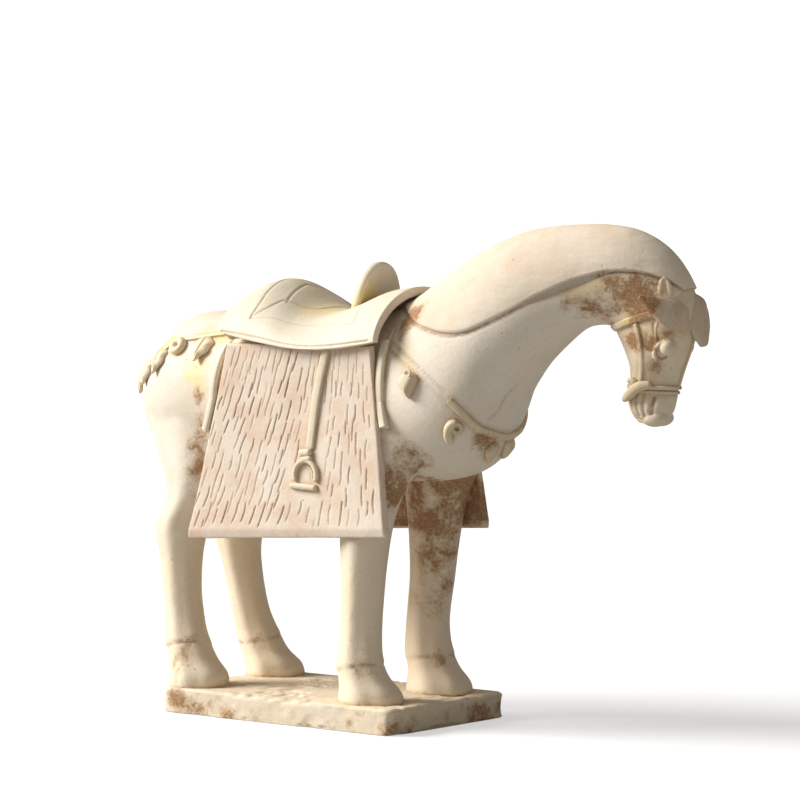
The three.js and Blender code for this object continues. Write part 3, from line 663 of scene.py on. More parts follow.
YELLOW = (
    Patch(-126, -42, 213, 5, 1.0), Patch(-121, -43, 210, 5, 1.2),
    Patch(-126, -44, 208, 4, 1.1), Patch(-139, -38, 221, 6, 0.8),
    Patch(-150, -34, 226, 7, 0.7), Patch(-160, -33, 222, 6, 0.7),
    Patch(-172, -32, 212, 6, 0.7), Patch(-108, -34, 230, 8, 0.9),
    Patch(-116, -46, 200, 7, 0.8), Patch(-115, -45, 215, 6, 0.8),
    Patch(-153, -32, 229, 5, 0.8), Patch(-125, -30, 236, 9, 0.6),
    Patch(-108, -22, 241, 8, 0.7), Patch(-75, 0, 266, 16, 0.5),
    Patch(-30, 0, 254, 24, 0.75), Patch(-45, -26, 246, 12, 0.5),
    Patch(-20, -38, 232, 9, 0.4), Patch(-10, -12, 250, 14, 0.6),
    Patch(36, -37, 223, 8, 0.6), Patch(44, -37, 214, 7, 0.7), Patch(58, -30, 194, 7, 0.6),
    Patch(70, -20, 180, 7, 0.6), Patch(180, 5, 237, 8, 0.5), Patch(176, 2, 220, 7, 0.6),
    Patch(140, -10, 258, 9, 0.6), Patch(152, -4, 262, 8, 0.6), Patch(168, 2, 243, 6, 0.7),
    Patch(36, -44, 170, 9, 0.35), Patch(-104, 31, 232, 8, 0.8),
    Patch(-126, 42, 213, 6, 0.9), Patch(-139, 38, 221, 6, 0.7),
    Patch(183, 16, 226, 4, 0.6))


def finish_piece(name: str, mesh: bpy.types.Mesh, clay: Clay) -> bpy.types.Object:
    """Args:
        name: the piece's name.
        mesh: its mesh, in place.
        clay: its finish.

    Returns:
        The piece.
    """
    piece = bpy.data.objects.new(name, mesh)
    bpy.context.collection.objects.link(piece)
    points = coordinates(mesh)
    for mask, patches in (("earth", EARTH), ("yellow", YELLOW)):
        spots = sum(patch.over(points) for patch in patches)
        set_mask(mesh, mask, np.maximum(get_mask(mesh, mask), spots))
    material = bpy.data.materials.get(clay.name) or clay.build()
    mesh.materials.clear()
    mesh.materials.append(material)
    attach(piece, "root")
    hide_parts(NODE)
    LOG.info("%s: %d faces", name, len(mesh.polygons))
    return piece


# ---- sheets and strips ----

def sheet_section(share: Array, length: float, thick: float, radius: float) -> tuple[Array, Array]:
    """Rounded oblong run round once: outer face, front edge, inner face, back edge.

    Args:
        share: 0 to 1 round the section.
        length: length of the faces, mm.
        thick: their distance, mm.
        radius: radius of the corners, mm.

    Returns:
        Shares along the length and through the thickness.
    """
    e, r = radius / length, radius / thick
    turn = np.linspace(0, math.pi / 2, 5)
    s, c = np.sin(turn), np.cos(turn)
    along = np.concatenate([1 - e + e * s, 1 - e + e * c, e - e * s, e - e * c, [1 - e]])
    depth = np.concatenate([r - r * c, 1 - r + r * s, 1 - r + r * c, r - r * s, [0.0]])
    legs = np.full(len(along) - 1, 0.004)
    legs[[4, 9, 14, 19]] = [0.012, 0.21, 0.012, 0.70]
    knots = np.concatenate([[0], np.cumsum(legs)]) / legs.sum()
    return np.interp(share, knots, along), np.interp(share, knots, depth)


def hem_rows(share: Array, height: float, thick: float, radius: float) -> tuple[Array, Array]:
    """Rows across a sheet from one hem to the other, with both hems rounded and closed.

    Args:
        share: 0 to 1 across the rows.
        height: from hem to hem, mm.
        thick: thickness of the sheet, mm.
        radius: radius of the hems, mm.

    Returns:
        Shares of the height, and how much of the thickness is left there.
    """
    end = 0.07
    q = np.clip(np.minimum(share, 1 - share) / end, 0, 1)
    turn = np.clip((q - 0.3) / 0.7, 0, 1) * math.pi / 2
    left = np.where(q < 0.3, q / 0.3 * (1 - 2 * radius / thick), 1 - 2 * radius / thick * (1 - np.sin(turn)))
    inset = radius / height * (1 - np.cos(turn))
    middle = radius / height + (1 - 2 * radius / height) * np.clip((share - end) / (1 - 2 * end), 0, 1)
    place = np.where(share < end, inset, np.where(share > 1 - end, 1 - inset, middle))
    return place, left


@dataclass(frozen=True)
class Sheet:
    """A bent sheet of clay of some thickness with rounded edges; lengths in mm."""

    point: Surface
    outward: Callable[[Array], Array]
    thickness: Callable[[Array, Array], Array]
    length: float
    height: float
    radius: float

    def normal(self, u: Array, v: Array) -> Array:
        """Outward directions of the sheet's outer face."""
        e = 0.004
        du = self.point(u + e, v) - self.point(u - e, v)
        dv = self.point(u, np.clip(v + e, 0, 1)) - self.point(u, np.clip(v - e, 0, 1))
        n = unit(np.cross(du, dv))
        return n * np.sign(np.sum(n * self.outward(self.point(u, v)), axis=1))[:, None]

    def mesh(self, columns: int, rows: int, name: str) -> bpy.types.Mesh:
        """Closed mesh of the sheet."""

        def place(s: Array, w: Array) -> Array:
            mean = float(np.mean(self.thickness(np.array([0.5]), np.array([0.5]))))
            u, depth = sheet_section(s, self.length, mean, self.radius)
            v, left = hem_rows(w, self.height, mean, self.radius)
            depth = 0.5 + (depth - 0.5) * left
            return self.point(u, v) - self.normal(u, v) * (self.thickness(u, v) * depth * MM)[:, None]

        return tube(place, columns, rows, name)


def strip(path: Array, out: Array, widths: Array, raise_: float, sunk: float = 1.6, rows: int = 60,
          around: int = 20, square: float = 0.55, blunt: float = 0.5, name: str = "strip") -> bpy.types.Mesh:
    """Strip of clay pressed on along a path, with rounded edges and ends.

    Args:
        path: middle of the strip, metres.
        out: directions away from what it lies on.
        widths: its width at each place, mm.
        raise_: height above the path, mm.
        sunk: depth below the path, mm.
        rows: faces along it.
        around: faces round it.
        square: how square the section is, less being squarer.
        blunt: length of the rounded ends in widths.
        name: name of the mesh.

    Returns:
        A closed mesh.
    """
    ahead = unit(np.gradient(path, axis=0))
    side = unit(np.cross(out, ahead))
    up = unit(np.cross(ahead, side))
    rows_table = np.concatenate([path, side, up, np.asarray(widths, float)[:, None]], axis=1)
    length = np.linalg.norm(np.diff(path, axis=0), axis=1).sum() / MM
    end = min(blunt * float(np.mean(widths)) / length, 0.5)

    def place(s: Array, w: Array) -> Array:
        middle = end + (w - 0.12) / 0.76 * (1 - 2 * end)
        w = np.where(w < 0.12, w / 0.12 * end, np.where(w > 0.88, 1 - (1 - w) / 0.12 * end, middle))
        values = smooth_rows(rows_table, w * (len(path) - 1))
        q = np.clip(np.minimum(w, 1 - w) / end, 0, 1)
        close_in = np.sqrt(np.clip(1 - (1 - q) ** 2, 0, 1))
        a = 2 * math.pi * s
        across = np.sign(np.cos(a)) * np.abs(np.cos(a)) ** square * values[:, 9] / 2
        rise = np.where(np.sin(a) > 0, raise_, sunk) * np.sign(np.sin(a)) * np.abs(np.sin(a)) ** square
        across, rise = across * close_in, rise * close_in
        return values[:, :3] + (values[:, 3:6] * across[:, None] + values[:, 6:9] * rise[:, None]) * MM

    return tube(place, around, rows, name)


def skin_line(places: Sequence[Sequence[float]], steps: int = 60, lift: float = 0.0) -> tuple[Array, Array]:
    """Smooth line on the skin through [ring, degrees] places, and the directions out of the skin."""
    rows = np.array(places, float)
    spots = smooth_rows(rows, np.linspace(0, len(rows) - 1, steps + 1))
    return Figure.skin(spots[:, 0], spots[:, 1], lift), Figure.normal(spots[:, 0], spots[:, 1])


def skin_strip(places: Sequence[Sequence[float]], width: float, raise_: float, steps: int = 60,
               **options: object) -> bpy.types.Mesh:
    """Strip on the skin through [ring, degrees] places; width and height in mm."""
    path, out = skin_line(places, steps)
    return strip(path, out, np.full(len(path), width), raise_, rows=steps * 2, **options)


@dataclass(frozen=True)
class Spot:
    """Frame of a thing on the skin: across, up and out, turned about the outward direction."""

    ring: float
    degrees: float
    turn: float = 0.0

    def place(self, x: Array, y: Array, z: Array) -> Array:
        """Points of the frame, mm, brought to the part's frame.

        Args:
            x: across.
            y: up the skin.
            z: out of the skin.

        Returns:
            Points in metres.
        """
        out = Figure.normal(np.array([self.ring]), np.array([self.degrees]))[0]
        up = unit(np.array([0, 0, 1.0]) - out * out[2])
        side = np.cross(up, out)
        angle = math.radians(self.turn)
        up, side = (way * math.cos(angle) + np.cross(out, way) * math.sin(angle) for way in (up, side))
        start = Figure.skin(self.ring, self.degrees)[0]
        x, y, z = np.broadcast_arrays(x, y, z)
        return start + (x[..., None] * side + y[..., None] * up + z[..., None] * out) * MM


def leaf(spot: Spot, length: float, breadth: float, raise_: float = 2.6, lobes: float = 3.5) -> bpy.types.Mesh:
    """Pendant leaf with lobed edges and a vein, its stalk at the spot.

    Args:
        spot: where it hangs.
        length: from the stalk to the tip, mm.
        breadth: at its widest, mm.
        raise_: height of its middle, mm.
        lobes: lobes along each edge.

    Returns:
        A closed mesh.
    """

    def place(s: Array, w: Array) -> Array:
        a = 2 * math.pi * s
        k = np.where(w < 0.7, w / 0.7, (1 - w) / 0.3)
        down = (1 - np.cos(a)) / 2
        fullness = np.where(down < 0.36, np.sin(np.clip(down / 0.36, 0, 1) * math.pi / 2) ** 0.7,
                          1 - np.clip((down - 0.36) / 0.64, 0, 1) ** 1.35)
        scallop = 1 - 0.26 * np.abs(np.cos(math.pi * lobes * down)) ** 2.5 if lobes else 1.0
        half = breadth / 2 * np.sign(np.sin(a)) * fullness * scallop * 1.08
        x, y = half * k, -length * (0.42 + (down - 0.42) * k)
        dome = raise_ * (1 - k ** 4) * (1 - 0.3 * np.exp(-(x / 0.5) ** 2) * (1 if lobes else 0))
        z = np.where(w < 0.7, dome, -1.4 * (1 - k ** 6))
        return spot.place(x, y, z)

    return tube(place, 56, 22, "leaf")


def ring(spot: Spot, radius: float, thick: float, raise_: float = 1.0) -> bpy.types.Mesh:
    """Small clay ring pressed on at a spot, hollow in the middle."""

    def place(s: Array, w: Array) -> Array:
        a, b = 2 * math.pi * s, 2 * math.pi * w
        r = radius - thick / 2 + thick / 2 * np.cos(b)
        return spot.place(r * np.cos(a), r * np.sin(a), raise_ + thick * 0.5 * np.sin(b))

    return tube(place, 40, 16, "ring")


def pebble(centre: Sequence[float], radii: Sequence[float]) -> bpy.types.Mesh:
    """Ellipsoid at a place of the straight figure, mm."""

    def place(s: Array, w: Array) -> Array:
        a, b = 2 * math.pi * s, math.pi * w
        return Figure.turned(centre[0] + radii[0] * np.cos(a) * np.sin(b),
                             centre[1] + radii[1] * np.sin(a) * np.sin(b), centre[2] + radii[2] * np.cos(b))

    return tube(place, 24, 14, "pebble")


# ---- the horse ----

# Where neck and head meet, round the neck: degrees and ring.
JOIN = np.array([[0, 19.0], [30, 19.2], [62, 19.5], [90, 19.2], [130, 18.7], [180, 18.1], [230, 18.7],
                 [270, 19.2], [298, 19.5], [330, 19.2], [360, 19.0]])


def join_ring(degrees: Array) -> Array:
    """Ring under the throat lash, where the head begins."""
    return np.interp(np.mod(degrees, 360), JOIN[:, 0], JOIN[:, 1])


@dataclass
class Body:
    """Trunk, neck, legs and tail pressed into one skin."""

    voxel: float = 1.66  # mm
    # Three places on each coronet, mm in the part's frame.
    HOOF_LINES = (
        ((-136.9, -45.5, 40.4), (-126.8, -39.1, 43.0), (-125.4, -26.9, 40.2)),
        ((-135.5, 20.1, 34.8), (-127.0, 23.8, 38.2), (-125.2, 36.2, 41.7)),
        ((2.0, -46.6, 34.7), (11.3, -42.1, 38.5), (10.0, -24.0, 37.5)),
        ((0.5, 19.9, 35.1), (11.3, 23.9, 38.0), (14.3, 38.7, 38.1)))
    # Soft forms of both sides: ring, degrees, radius and height, the last two in mm.
    FORMS = ((9.6, 112, 22, 1.3), (10.6, 140, 14, -0.9), (3.4, 92, 30, 0.8), (5.6, 118, 16, -1.2),
             (12.6, 70, 26, 0.8), (15.2, 128, 16, -0.8))

    @staticmethod
    def leg(rows: Array, side: Side) -> bpy.types.Mesh:
        """One leg from the belly to the slab, with faint planes left by the tool."""
        girth = LEFT_FORE_GIRTH if rows is FORE_LEG and side is Side.LEFT else 1.0
        last = len(rows) - 1

        def place(s: Array, w: Array) -> Array:
            a = 2 * math.pi * s
            z, x, y, long, broad = smooth_rows(rows, w * (last + 0.15)).T
            z = np.where(w * (last + 0.15) > last, -1.5, z)
            plane = girth * (1 + 0.03 * np.cos(5 * a + 0.6 + w) + 0.014 * np.cos(8 * a - 2 * w))
            return Figure.turned(x + plane * long * np.cos(a), side.value * y + plane * broad * np.sin(a), z)

        return tube(place, 72, 110, "leg")

    @staticmethod
    def tail() -> bpy.types.Mesh:
        """Short bound tail lying close on the rump."""

        def place(s: Array, w: Array) -> Array:
            a = 2 * math.pi * s
            at = w * (len(TAIL) - 1)
            x, z, r = smooth_rows(TAIL, at).T
            below, above = (smooth_rows(TAIL, np.clip(at + step, 0, 5)) for step in (0.1, -0.1))
            ax, az, _ = (below - above).T
            size = np.hypot(ax, az)
            bound = r * (1 + 0.16 * np.exp(-((at - 2.1) / 0.22) ** 2) + 0.1 * np.exp(-((at - 2.7) / 0.2) ** 2))
            return Figure.turned(x - az / size * 0.8 * bound * np.cos(a), bound * np.sin(a),
                                 z + ax / size * 0.8 * bound * np.cos(a))

        return tube(place, 40, 60, "tail")

    def build(self) -> bpy.types.Object:
        """Builds the body.

        Returns:
            The body's piece.
        """

        def trunk(s: Array, w: Array) -> Array:
            degrees = 360 * s
            return Figure.skin(w * (join_ring(degrees) + 0.3), degrees)

        parts = [tube(trunk, 180, 300, "trunk"), self.tail()]
        for side in Side:
            parts += [self.leg(HIND_LEG, side), self.leg(FORE_LEG, side)]
            parts.append(pebble((38.2, side.value * 33.3, 29), (3.0, 4.0, 6.5)))
            parts.append(pebble((-102.5, side.value * 31.5, 36), (3.0, 4.2, 6.0)))
        mesh = fused(merged(parts, "solids"), self.voxel, 3, "body")
        points = coordinates(mesh)
        low = points[:, 2] / MM
        set_mask(mesh, "limb", 0.15 + 0.85 * (1 - ease(low, 85, 150)))
        self.crack_hooves(mesh)
        self.hollows(mesh)
        return finish_piece("horse_body", mesh, CREAM)

    def crack_hooves(self, mesh: bpy.types.Mesh) -> None:
        """Broken lines round the coronets, where hoof and leg were luted."""
        points = coordinates(mesh)
        broken = speckle(points, 260, seed=4)
        move = np.zeros(len(points))
        for a, b, c in (np.array(line) * MM for line in self.HOOF_LINES):
            n = unit(np.cross(b - a, c - a)[None])[0]
            n = n if n[2] > 0 else -n
            n = unit((n * np.array([0.55, 0.55, 1.0]))[None])[0]
            near = np.linalg.norm((points - b)[:, :2], axis=1) < 0.036
            away = (points - b) @ n / MM + 0.8 * (speckle(points, 110, seed=9) - 0.5)
            share = np.exp(-(away / 0.85) ** 2) * near * ease(broken, 0.25, 0.6)
            ledge = 0.5 * ease(away, -0.3, 1.2) * np.exp(-(np.clip(away, 0, 99) / 6) ** 2) * near
            move = move - share * 1.0 + ledge
            # Dark line in the coronet cracks: soil in them and their painted shade.
            set_mask(mesh, "groove", np.maximum(get_mask(mesh, "groove"), share * 0.45))
        set_coordinates(mesh, points + normals(mesh) * (move * MM)[:, None])

    def hollows(self, mesh: bpy.types.Mesh) -> None:
        """Soft forms of shoulders and haunches, the crack in the shoulder and the groove below the mane,
        painted dark as the shadow line under the mane's edge.
        """
        for side in Side:
            for ring_at, degrees, radius, height in self.FORMS:
                swell(mesh, Figure.skin(ring_at, side.value * degrees)[0], radius, height)
        crack = [(8.9, -58), (9.35, -74), (9.73, -87), (10.04, -98), (10.3, -108)]
        for beside in (-1.6, 1.6):
            line, _ = skin_line([(r + beside * 0.03, d + beside) for r, d in crack], 30)
            carve(mesh, [line], width=0.8, depth=0.55, soil_and_shade=0.5)
        share = np.linspace(0.015, 0.985, 60)
        edge = np.degrees(np.arccos(1 - 2 * smooth_rows(MANE_DEPTH, share * (len(MANE_DEPTH) - 1))[:, 0]))
        rings = MANE_START + (MANE_END - MANE_START) * share
        under_mane = [Figure.skin(rings, side.value * (edge + 0.9)) for side in Side]
        # The dark fill of this groove is the painted shadow line under the mane's raised edge.
        carve(mesh, under_mane, width=1.1, depth=0.5, soil_and_shade=0.7)
        chest, _ = skin_line([(11.4, -150), (11.9, -158), (12.4, -156), (13.0, -160)], 24)
        carve(mesh, [chest], width=0.9, depth=0.35, soil_and_shade=0.35)


@dataclass
class Head:
    """Head with its eyes, ears and the parted forelock."""

    voxel: float = 0.62  # mm
    EYE = (21.75, 66.0)  # ring and degrees
    EAR_ROOT = (237, 13, 237)
    EAR_LENGTH = 15
    # Middles and widths of the locks: x, y, z of the straight figure, and the width.
    RIGHT_LOCK = ((225.7, -25.5, 239.7, 2.5), (231.3, -23.5, 236.6, 8), (238.3, -20.5, 232.6, 14),
                  (244.6, -16, 227.9, 17), (248, -9.4, 221.5, 7))
    LEFT_LOCK = ((245, -1, 240.9, 9), (249.2, -1.8, 235.7, 17.5), (252.3, -1, 227.8, 16),
                 (253.9, 0, 219.7, 12), (255.6, 1, 211.4, 4))

    def build(self) -> list[bpy.types.Object]:
        """Builds the head, the ears and the forelock."""

        def skull(s: Array, w: Array) -> Array:
            degrees = 360 * s
            start = join_ring(degrees) - 0.3
            return Figure.skin(start + w * (27 - start), degrees)

        parts = [tube(skull, 160, 200, "skull")]
        for side in Side:
            parts += [self.lids(side), self.ear(side)]
            parts.append(pebble((239.6, side.value * 15.0, 211.2), (4.6, 4.8, 4.8)))
            parts.append(pebble((228, side.value * 4.5, 170.5), (8.0, 6.5, 5.0)))
        mesh = fused(merged(parts, "solids"), self.voxel, 2, "head")
        self.carve_face(mesh)
        points = coordinates(mesh)
        patchy = speckle(points, 160, seed=21)
        set_mask(mesh, "limb", 0.15 + 0.5 * patchy)
        head = finish_piece("horse_head", mesh, HEAD_CLAY)
        return [head, *self.forelock()]

    def lids(self, side: Side) -> bpy.types.Mesh:
        """Rim of the lids round one eye."""
        ring_at, degrees = self.EYE
        places = []
        for k in range(13):
            a = math.radians(-150 + 300 * k / 12 + 180)
            places.append((ring_at + 0.62 * math.sin(a), side.value * (degrees - 17 * math.cos(a))))
        path, out = skin_line(places, 60)
        return strip(path, out, np.linspace(1.7, 1.3, 61), 1.5, 1.5, rows=80, around=12)

    @staticmethod
    def ear(side: Side) -> bpy.types.Mesh:
        """Small pricked ear, hollow towards the side."""
        rows = np.array([[-0.15, 4.4, 3.8], [0, 4.6, 4], [0.3, 5.4, 4.4], [0.6, 4.6, 3.6], [0.85, 2.6, 2.2],
                         [1, 0.4, 0.4]])

        def place(s: Array, w: Array) -> Array:
            a = 2 * math.pi * s
            share, long, broad = smooth_rows(rows, w * 5).T
            front = np.exp(-((np.mod(a - 1.15 + math.pi, 2 * math.pi) - math.pi) / 0.5) ** 2)
            inward = 1 - 0.85 * front * ease(share, 0.02, 0.2) * (1 - ease(share, 0.78, 0.95))
            root_x, root_y, root_z = Head.EAR_ROOT
            across = root_y + 1.5 * share + inward * broad * np.sin(a)
            return Figure.turned(root_x + inward * long * np.cos(a), side.value * across,
                                 root_z + Head.EAR_LENGTH * share)

        return tube(place, 60, 50, "ear")

    def carve_face(self, mesh: bpy.types.Mesh) -> None:
        """Cuts the nostrils, the folds of the lips, the lids and the cheek."""
        for side in Side:
            sign = side.value

            def line(*places: tuple[float, float], s: int = sign) -> Array:
                """Line on the skin, mirrored to this side."""
                return skin_line([(r, s * d) for r, d in places], 24)[0]

            swell(mesh, Figure.skin(20.6, sign * 58)[0], 8, 1.5)
            swell(mesh, Figure.skin(22.0, sign * 112)[0], 9, 1.0)
            swell(mesh, Figure.skin(23.3, sign * 70)[0], 6, -0.9)
            swell(mesh, Figure.skin(25.3, sign * 48)[0], 4.5, 0.9)
            swell(mesh, Figure.skin(25.6, sign * 78)[0], 3.0, 0.6)
            carve(mesh, [line((24.75, 70), (25.3, 72), (25.9, 74))], width=1.3, depth=2.4, soil_and_shade=0.55)
            for degrees, depth in ((96, 1.0), (117, 1.2), (137, 0.9)):
                fold = line((24.5, degrees), (25.4, degrees + 1), (26.3, degrees - 3))
                carve(mesh, [fold], width=0.9, depth=depth, soil_and_shade=0.3)
            carve(mesh, [line((26.55, 40), (26.6, 90), (26.5, 140))], width=0.7, depth=0.7, soil_and_shade=0.35)
            ring_at, degrees = self.EYE
            around = [(ring_at + 0.5 * math.sin(t), degrees - 13 * math.cos(t))
                      for t in np.linspace(0, 2 * math.pi, 17)]
            carve(mesh, [line(*around)], width=0.7, depth=1.0, soil_and_shade=0.5)
            brow = line((20.9, 76), (20.5, 80), (20.1, 82), (19.8, 80))
            carve(mesh, [brow], width=0.7, depth=0.6, soil_and_shade=0.4)

    def forelock(self) -> list[bpy.types.Object]:
        """The two leaf-shaped locks."""
        pieces = []
        locks = (("forelock_right", self.RIGHT_LOCK, (0.62, -0.74, 0.3)),
                 ("forelock_left", self.LEFT_LOCK, (0.82, -0.42, 0.38)))
        for name, rows, out in locks:
            values = smooth_rows(np.array(rows), np.linspace(0, 4, 49))
            path = Figure.turned(values[:, 0], values[:, 1], values[:, 2])
            facing = np.tile(unit(np.array([out]))[0], (49, 1))
            mesh = strip(path, facing, values[:, 3], 2.0, 1.8, rows=110, around=56, square=0.8, blunt=0.12,
                         name=name)
            points = coordinates(mesh)
            bumps = speckle(points, 420, seed=3) - 0.5
            set_coordinates(mesh, points + normals(mesh) * (bumps * 0.35 * MM)[:, None])
            pieces.append(finish_piece(name, mesh, LOCK_CLAY))
        return pieces


@dataclass
class Mane:
    """Clipped mane standing on the neck as a thick skin with a rounded edge."""

    raise_: float = 2.1  # how far it stands off the neck, mm

    def build(self) -> bpy.types.Object:
        """Builds the mane."""

        def place(s: Array, w: Array) -> Array:
            w = np.clip(w, 1e-4, 1 - 1e-4)
            depth = smooth_rows(MANE_DEPTH, w * 10)[:, 0]
            edge = np.degrees(np.arccos(np.clip(1 - 2 * depth, -1, 1)))
            outer = s < 0.72
            across = np.where(outer, -1 + 2 * s / 0.72, 1 - 2 * (s - 0.72) / 0.28)
            ring_at = MANE_START + (MANE_END - MANE_START) * w
            away = (1 - np.abs(across)) * edge * 0.62 + 0.12
            top = self.raise_ * np.sqrt(np.clip(1 - (1 - np.clip(away / 1.8, 0, 1)) ** 2, 0, 1))
            lift = np.where(outer, top - 0.35, -0.9 * np.clip(away / 2.6, 0, 1) - 0.35)
            return Figure.skin(ring_at, across * edge, lift)

        mesh = tube(place, 220, 150, "mane")
        points = coordinates(mesh)
        lumps = speckle(points, 60, seed=7) - 0.5
        scratches = speckle(points * np.array([0.35, 0.35, 1.6]), 420, seed=8) - 0.5
        set_coordinates(mesh, points + normals(mesh) * ((lumps * 0.5 + scratches * 0.22 - 0.3) * MM)[:, None])
        crest, _ = skin_line([(15.3, 5), (16.5, 9), (17.6, 12), (18.7, 12)], 40, self.raise_)
        carve(mesh, [crest], width=0.8, depth=0.8, soil_and_shade=0.5)
        return finish_piece("mane", mesh, MANE_CLAY)


# ---- saddle and cloths ----

def arch(x: Array, v: Array, half: Array, top: Array, hem: Array, fullness: float) -> Array:
    """Arch over the back; v runs from the right hem over the back to the left hem."""
    a = math.pi * (v - 0.5)
    return Figure.turned(x, half * np.sin(a), hem + (top - hem) * np.clip(np.cos(a), 0, 1) ** fullness)


def from_barrel(points: Array) -> Array:
    """Directions from the middle of the barrel."""
    return (points - np.array([0, 0, 0.18])) * np.array([0, 1, 1])


def pad_point(u: Array, v: Array) -> Array:
    """Top of the saddle pad; u from the back to the front."""
    ridge, hem_x, half, top, hem = smooth_rows(PAD, u * (len(PAD) - 1)).T
    down = np.abs(2 * v - 1) ** 2
    return arch(ridge + (hem_x - ridge) * down, v, half, top, hem, PAD_SLACK)


def blanket_point(u: Array, v: Array) -> Array:
    """Outer face of the blanket, with the raised border of its front and back edges."""
    ridge, hem_x, half, top, hem = smooth_rows(BLANKET, u * 3).T
    hanging = np.maximum(np.maximum(BLANKET_SKIRT - v, v - 1 + BLANKET_SKIRT), 0) / BLANKET_SKIRT
    over = np.clip((v - BLANKET_SKIRT) / (1 - 2 * BLANKET_SKIRT), 0, 1)
    x = ridge + (hem_x - ridge) * np.abs(2 * v - 1) ** 2
    edge = np.minimum(u, 1 - u) * BLANKET_LENGTH
    rim = 1.5 * (1 - ease(edge, 4.2, 5.2)) - 0.6
    points = arch(x, over, half + 1 + 1.5 * hanging + rim, top, BLANKET_GIRTH, 0.8)
    points[:, 2] -= hanging * (BLANKET_GIRTH - hem) * MM
    return points


def panel_point(u: Array, v: Array, side: Side, lift: Array = 0.0) -> Array:
    """Outer face of a side panel: u from the back to the front, v from the bottom to the top."""
    low = PANEL_LOW[0] + (PANEL_LOW[1] - PANEL_LOW[0]) * np.asarray(u)[..., None]
    top = PANEL_TOP[0] + (PANEL_TOP[1] - PANEL_TOP[0]) * np.asarray(u)[..., None]
    x, _, z = (low + (top - low) * np.asarray(v)[..., None]).T
    y = top[..., 1] + (low[..., 1] - top[..., 1]) * np.clip(1 - v, 0, 2) ** PANEL_FLARE
    return Figure.turned(x, side.value * (y + lift), z)


